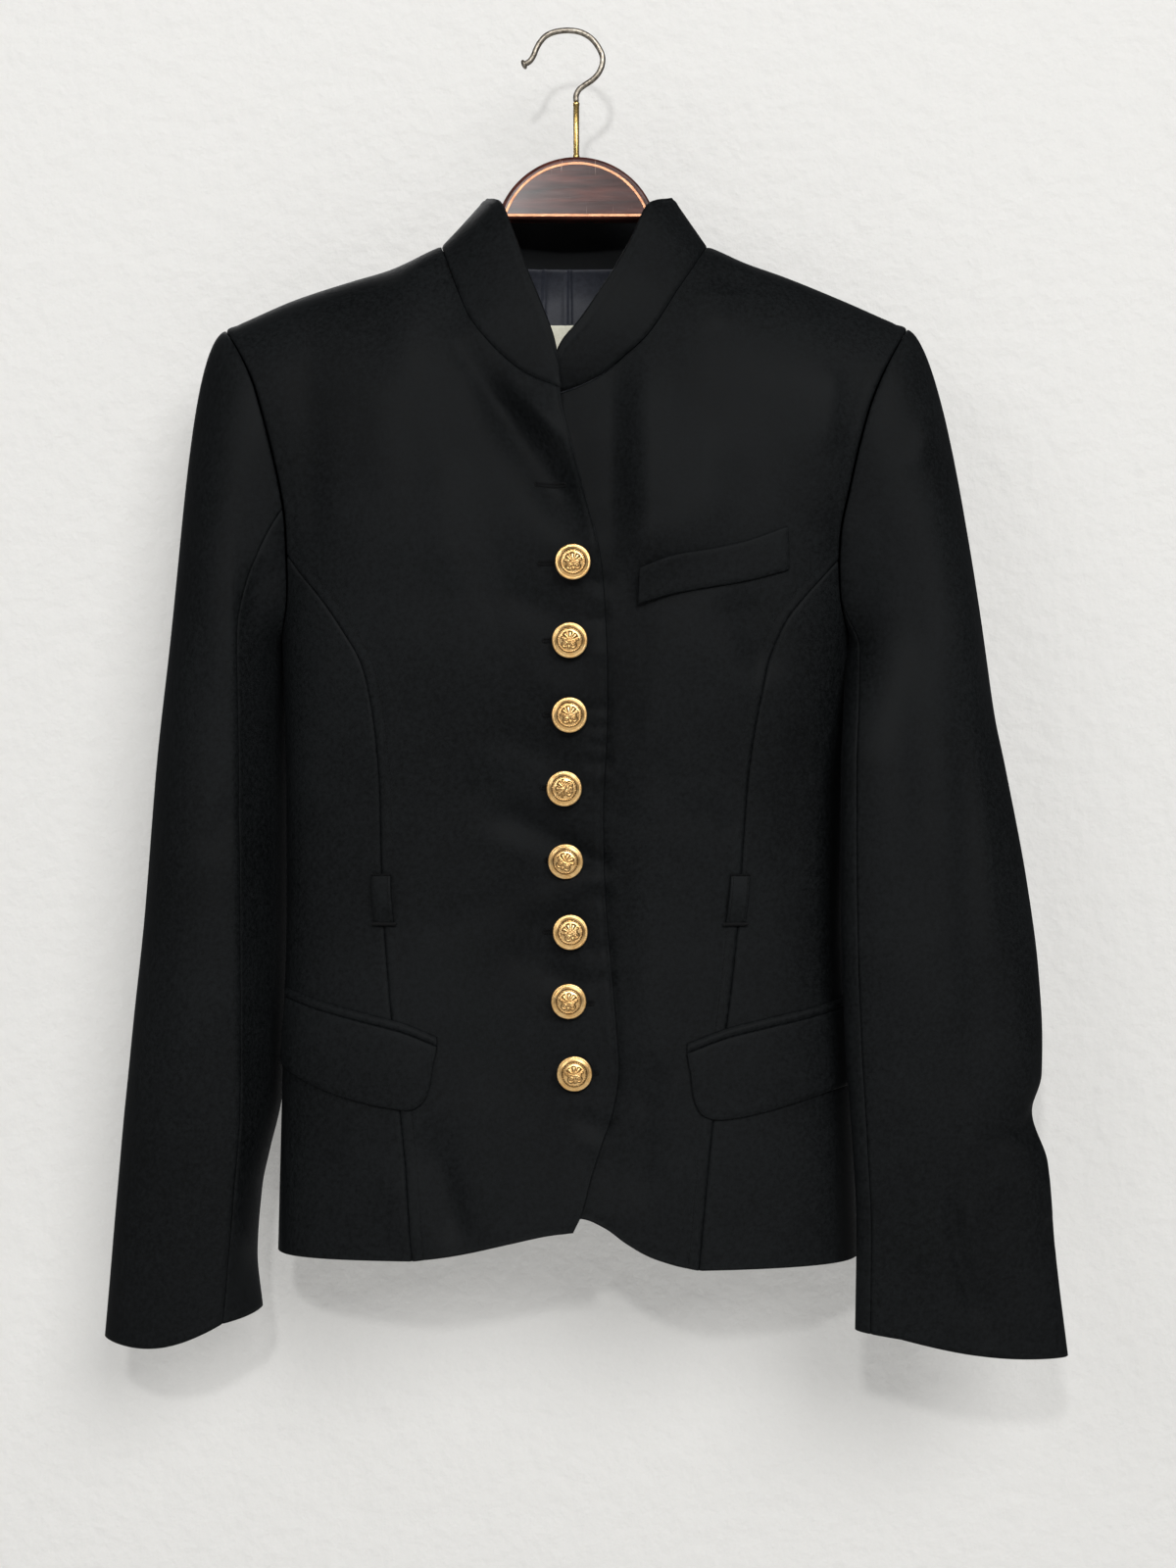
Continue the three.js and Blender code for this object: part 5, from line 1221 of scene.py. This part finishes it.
# hanger
hanger = {
    "x": 5, "radius": 50, "top": -77, "flat": -115, "flatHalf": 41, "spread": 63, "thickness": 12,
    "armEnd": 186, "armHeight": 24, "slope": 0.37, "below": 2.9, "bevel": 2.4,
    "inlay": {"inset": 3.3, "width": 1.9, "proud": 0.15, "deep": 0.3, "above": 1.1},
    "hook": [(-27.2, -19.1), (-23.8, -17.2), (-21.4, -13.8), (-19.9, -10), (-17.6, -5.8),
             (-13.9, -1.7), (-8.3, 0.8), (0, 1.75), (7.5, 0.6), (13.6, -2.8), (18.1, -8.1),
             (20.8, -14.2), (20.6, -19.2), (18.4, -24.4), (14.3, -28.8), (9.8, -31.8),
             (6.3, -34.8), (4.7, -38.4), (4.8, -42)],
    "wire": 1.75, "bead": {"radius": 3.0, "half": 1.5}, "stem": {"x": 4.8, "radius": 1.8}}


# an arc about the middle of the round head, from its left end over the top to its right end
def headArc(radius, spread, count):
    angles = np.linspace(spread, -spread, count)
    middle = hanger["top"] - hanger["radius"]
    return np.stack([hanger["x"] + radius * np.sin(angles), middle + radius * np.cos(angles)], -1)


# outline of the wood: the round head, the arms under the shoulder ridge, and back underneath
def woodOutline():
    x0, flat, half = hanger["x"], hanger["flat"], hanger["flatHalf"]
    head = headArc(hanger["radius"], math.radians(hanger["spread"]), 61)
    headX, headZ = head[0] - (x0, 0)
    ridge = lambda x: float(ridgeHeight(np.float64(x)))
    topOf = lambda x: ridge(x) - body["thickness"] / math.cos(hanger["slope"]) - hanger["below"]

    def armOf(sign):
        top = [(sign * x, topOf(sign * x)) for x in (102, 130, 158, hanger["armEnd"])]
        low = [(sign * x, topOf(sign * x) - hanger["armHeight"])
               for x in (hanger["armEnd"] - 6, 150, 118, 92)]
        neck = [(x0 + sign * (headX + 7), headZ - 14), (x0 + sign * (headX + 19), headZ - 25),
                (sign * 82, ridge(sign * 82) - 9.4)]
        return neck + top + low
    right = [head[-1]] + armOf(-1) + [(-62, flat - 23)]
    left = [(70, flat - 23)] + armOf(1)[::-1] + [head[0]]
    share = np.linspace(0, 1, 120)
    return np.vstack([head[1:-1], through(right)(share),
                      np.linspace((x0 - half, flat), (x0 + half, flat), 24), through(left)(share)])


# outline moved inward by a distance, along the bisector of the neighbouring edges
def insetOutline(line, distance):
    tangent = unit(np.roll(line, -1, 0) - np.roll(line, 1, 0))
    inward = np.stack([tangent[:, 1], -tangent[:, 0]], -1)
    area = np.sum(line[:, 0] * np.roll(line[:, 1], -1) - line[:, 1] * np.roll(line[:, 0], -1))
    return line + inward * distance * (-1 if area > 0 else 1)


# copies of an outline, each moved inward and set at its own depth
def outlineStack(line, rings):
    return np.array([np.insert(insetOutline(line, inset), 1, y, axis=1) for inset, y in rings])


half, bevel = hanger["thickness"] / 2, hanger["bevel"]
rings = [(bevel * (1 - np.sin(a)), -half + bevel * 0.7 * (1 - np.cos(a)))
         for a in np.radians(np.linspace(0, 90, 7))]
rings += [(inset, -y) for inset, y in rings[::-1]]
stack = outlineStack(woodOutline(), rings)
number = numbered(stack)
vertices = stack.reshape(-1, 3)
faces = facingOut(vertices, quadsOf(number, closed=True), number[:1, ::-1], number[-1:])
wood = addPiece("hangerShape", vertices, faces, mahogany, "hanger_wood")
for polygon in wood.data.polygons[-2:]:
    polygon.use_smooth = False

# the inlay: a low box with slanted sides, carried round inside the head and along its flat
inlay = hanger["inlay"]
radius, middle = hanger["radius"] - inlay["inset"], hanger["top"] - hanger["radius"]
arc = headArc(radius, math.acos((hanger["flat"] + inlay["above"] - middle) / radius), 90)
front, back = -half - inlay["proud"], -half + inlay["deep"]
stack = outlineStack(np.vstack([arc, np.linspace(arc[-1], arc[0], 40)[1:-1]]), [
    (0, back), (inlay["width"] * 0.15, front), (inlay["width"] * 0.85, front), (inlay["width"], back)])
number = numbered(stack)
vertices = stack.reshape(-1, 3)
faces = facingOut(vertices, quadsOf(np.vstack([number, number[:1]]), closed=True))
addPiece("hangerInlay", vertices, faces, inlayMetal, smooth=False)


# a round bar along a line in the x-z plane: circles whose radius follows the length along it
def barAlong(line, radii, sides=32):
    tangent = unit(np.gradient(line, axis=0))
    side = np.stack([tangent[:, 2], np.zeros(len(line)), -tangent[:, 0]], -1)
    around = np.linspace(0, 2 * np.pi, sides, endpoint=False)[None, :, None]
    ring = side[:, None] * np.cos(around) + np.array([0, 1, 0]) * np.sin(around)
    grid = line[:, None] + ring * radii[:, None, None]
    number = numbered(grid)
    vertices = np.vstack([grid.reshape(-1, 3), line[:1], line[-1:]])
    return vertices, facingOut(vertices, quadsOf(number, closed=True), *poleFans(number))


# the hook: a bead on the tip, and a wire that rounds off at its low end
hookCurve = through([(x, 0, z) for x, z in hanger["hook"]])
run = np.concatenate([[-1.49, -1.4, -1.15, -0.8, -0.4, 0, 0.4, 0.8, 1.1, 1.28, 1.45],
                      np.linspace(1.8, hookCurve.length - 0.5, 160),
                      hookCurve.length - np.array([0.3, 0.12, 0.0])])
start = hookCurve(np.zeros(1))[0]
ahead = unit(hookCurve(np.array([0.01]))[0] - start)
line = np.where(run[:, None] < 0, start + ahead * run[:, None], hookCurve(run / hookCurve.length))
bead = hanger["bead"]
beadRadius = bead["radius"] * np.sqrt(np.maximum(1 - (run / bead["half"]) ** 2, 0.004))
left = hookCurve.length - run
wire = hanger["wire"] * np.sqrt(np.clip(1 - (1 - np.clip(left / 0.5, 0, 1)) ** 2, 0.2, 1))
vertices, faces = barAlong(line, np.where(run < 1.3, beadRadius, wire))
addPiece("hookWire", vertices, faces, hookMetal, "hanger_hook")

# the stem: a rod with a collar at either end
stemLow, stemHigh = hanger["top"] + 0.35, hanger["hook"][-1][1] - 0.35
levels = np.array([stemLow, stemLow + 0.05, stemLow + 0.5, stemLow + 1.6, stemLow + 2.0,
                   stemHigh - 2.2, stemHigh - 1.8, stemHigh - 0.5, stemHigh - 0.1, stemHigh])
girth = np.array([0.9, 1.08, 1.14, 1.14, 1.0, 1.0, 1.12, 1.12, 1.0, 0.8]) * hanger["stem"]["radius"]
line = np.stack([np.full(10, hanger["stem"]["x"]), np.zeros(10), levels], -1)
vertices, faces = barAlong(line, girth)
addPiece("stemRod", vertices, faces, stemMetal, "hanger_stem")
print("hanger made")


# room and light
room = {
    "wall": {"y": 0.06, "half": 3.0, "color": (0.492, 0.486, 0.471), "grainScale": 90},
    "floor": {"z": -1.5, "half": 5.0, "color": (0.7, 0.7, 0.69), "grainScale": 8},
    "rough": 0.9, "glow": 0.255, "glowColor": (1.0, 0.985, 0.95), "worldColor": (0.93, 0.95, 1.0),
    "worldStrength": 0.11}


# a plane of the stage with a matt grainy surface
def stagePlane(name, corners, look):
    mesh = bpy.data.meshes.new(name)
    mesh.from_pydata(corners, [], [(0, 1, 2, 3)])
    plane = bpy.data.objects.new(name, mesh)
    surface = Surface(name)
    surface.shade(Base_Color=(*look["color"], 1), Roughness=room["rough"])
    surface.bumps([(surface.noise(look["grainScale"], 5), 0.3, 0.01)])
    mesh.materials.append(surface.material)
    scene.collection.objects.link(plane)
    return plane, surface


half, y = room["wall"]["half"], room["wall"]["y"]
wall, surface = stagePlane(
    "wall", [(-half, y, -half), (half, y, -half), (half, y, half), (-half, y, half)], room["wall"])
# a little light of its own keeps the shadows on the wall soft
surface.shade(Emission_Color=(*room["glowColor"], 1), Emission_Strength=room["glow"])
# the wall is only a backdrop: seen from behind it lets the view through, and it blocks no light
facing = surface.add("NewGeometry", {}, "Backfacing")
choose = surface.add("MixShader", {"Fac": facing}, "Shader")
surface.feed(choose.node, {1: surface.nodes["Principled BSDF"].outputs["BSDF"],
                           2: surface.add("BsdfTransparent", {}, "BSDF")})
surface.feed(surface.nodes["Material Output"], {"Surface": choose})
wall.visible_shadow = False
wall.visible_diffuse = False
wall.visible_glossy = False
half, z = room["floor"]["half"], room["floor"]["z"]
stagePlane("floor", [(-half, -half, z), (half, -half, z), (half, half, z), (-half, half, z)],
           room["floor"])

lights = {
    "key": {"place": (1.9, -4.4, 2.4), "aim": (0, 0, -0.4), "size": 2.7, "power": 212},
    "fill": {"place": (-3.4, -3.4, 1.8), "aim": (0, 0, -0.4), "size": 2.6, "power": 55},
    "glare": {"place": (-0.19, -2.2, 0.5), "aim": (0, 0, -0.1), "size": 0.13, "power": 15.0},
    "behind": {"place": (-0.9, 4.4, 2.3), "aim": (0, 0, -0.45), "size": 3.0, "power": 130}}
for name, light in lights.items():
    lamp = bpy.data.objects.new(name, bpy.data.lights.new(name, "AREA"))
    lamp.data.size = light["size"]
    lamp.data.energy = light["power"]
    lamp.location = light["place"]
    x, y, z = unit(np.array(light["aim"]) - light["place"])
    lamp.rotation_euler = (math.acos(-z), 0, math.atan2(y, x) - math.pi / 2)
    scene.collection.objects.link(lamp)
world = bpy.data.worlds.new("soft room")
world.use_nodes = True
background = world.node_tree.nodes["Background"]
background.inputs["Color"].default_value = (*room["worldColor"], 1)
background.inputs["Strength"].default_value = room["worldStrength"]
scene.world = world
print("room and lights made")
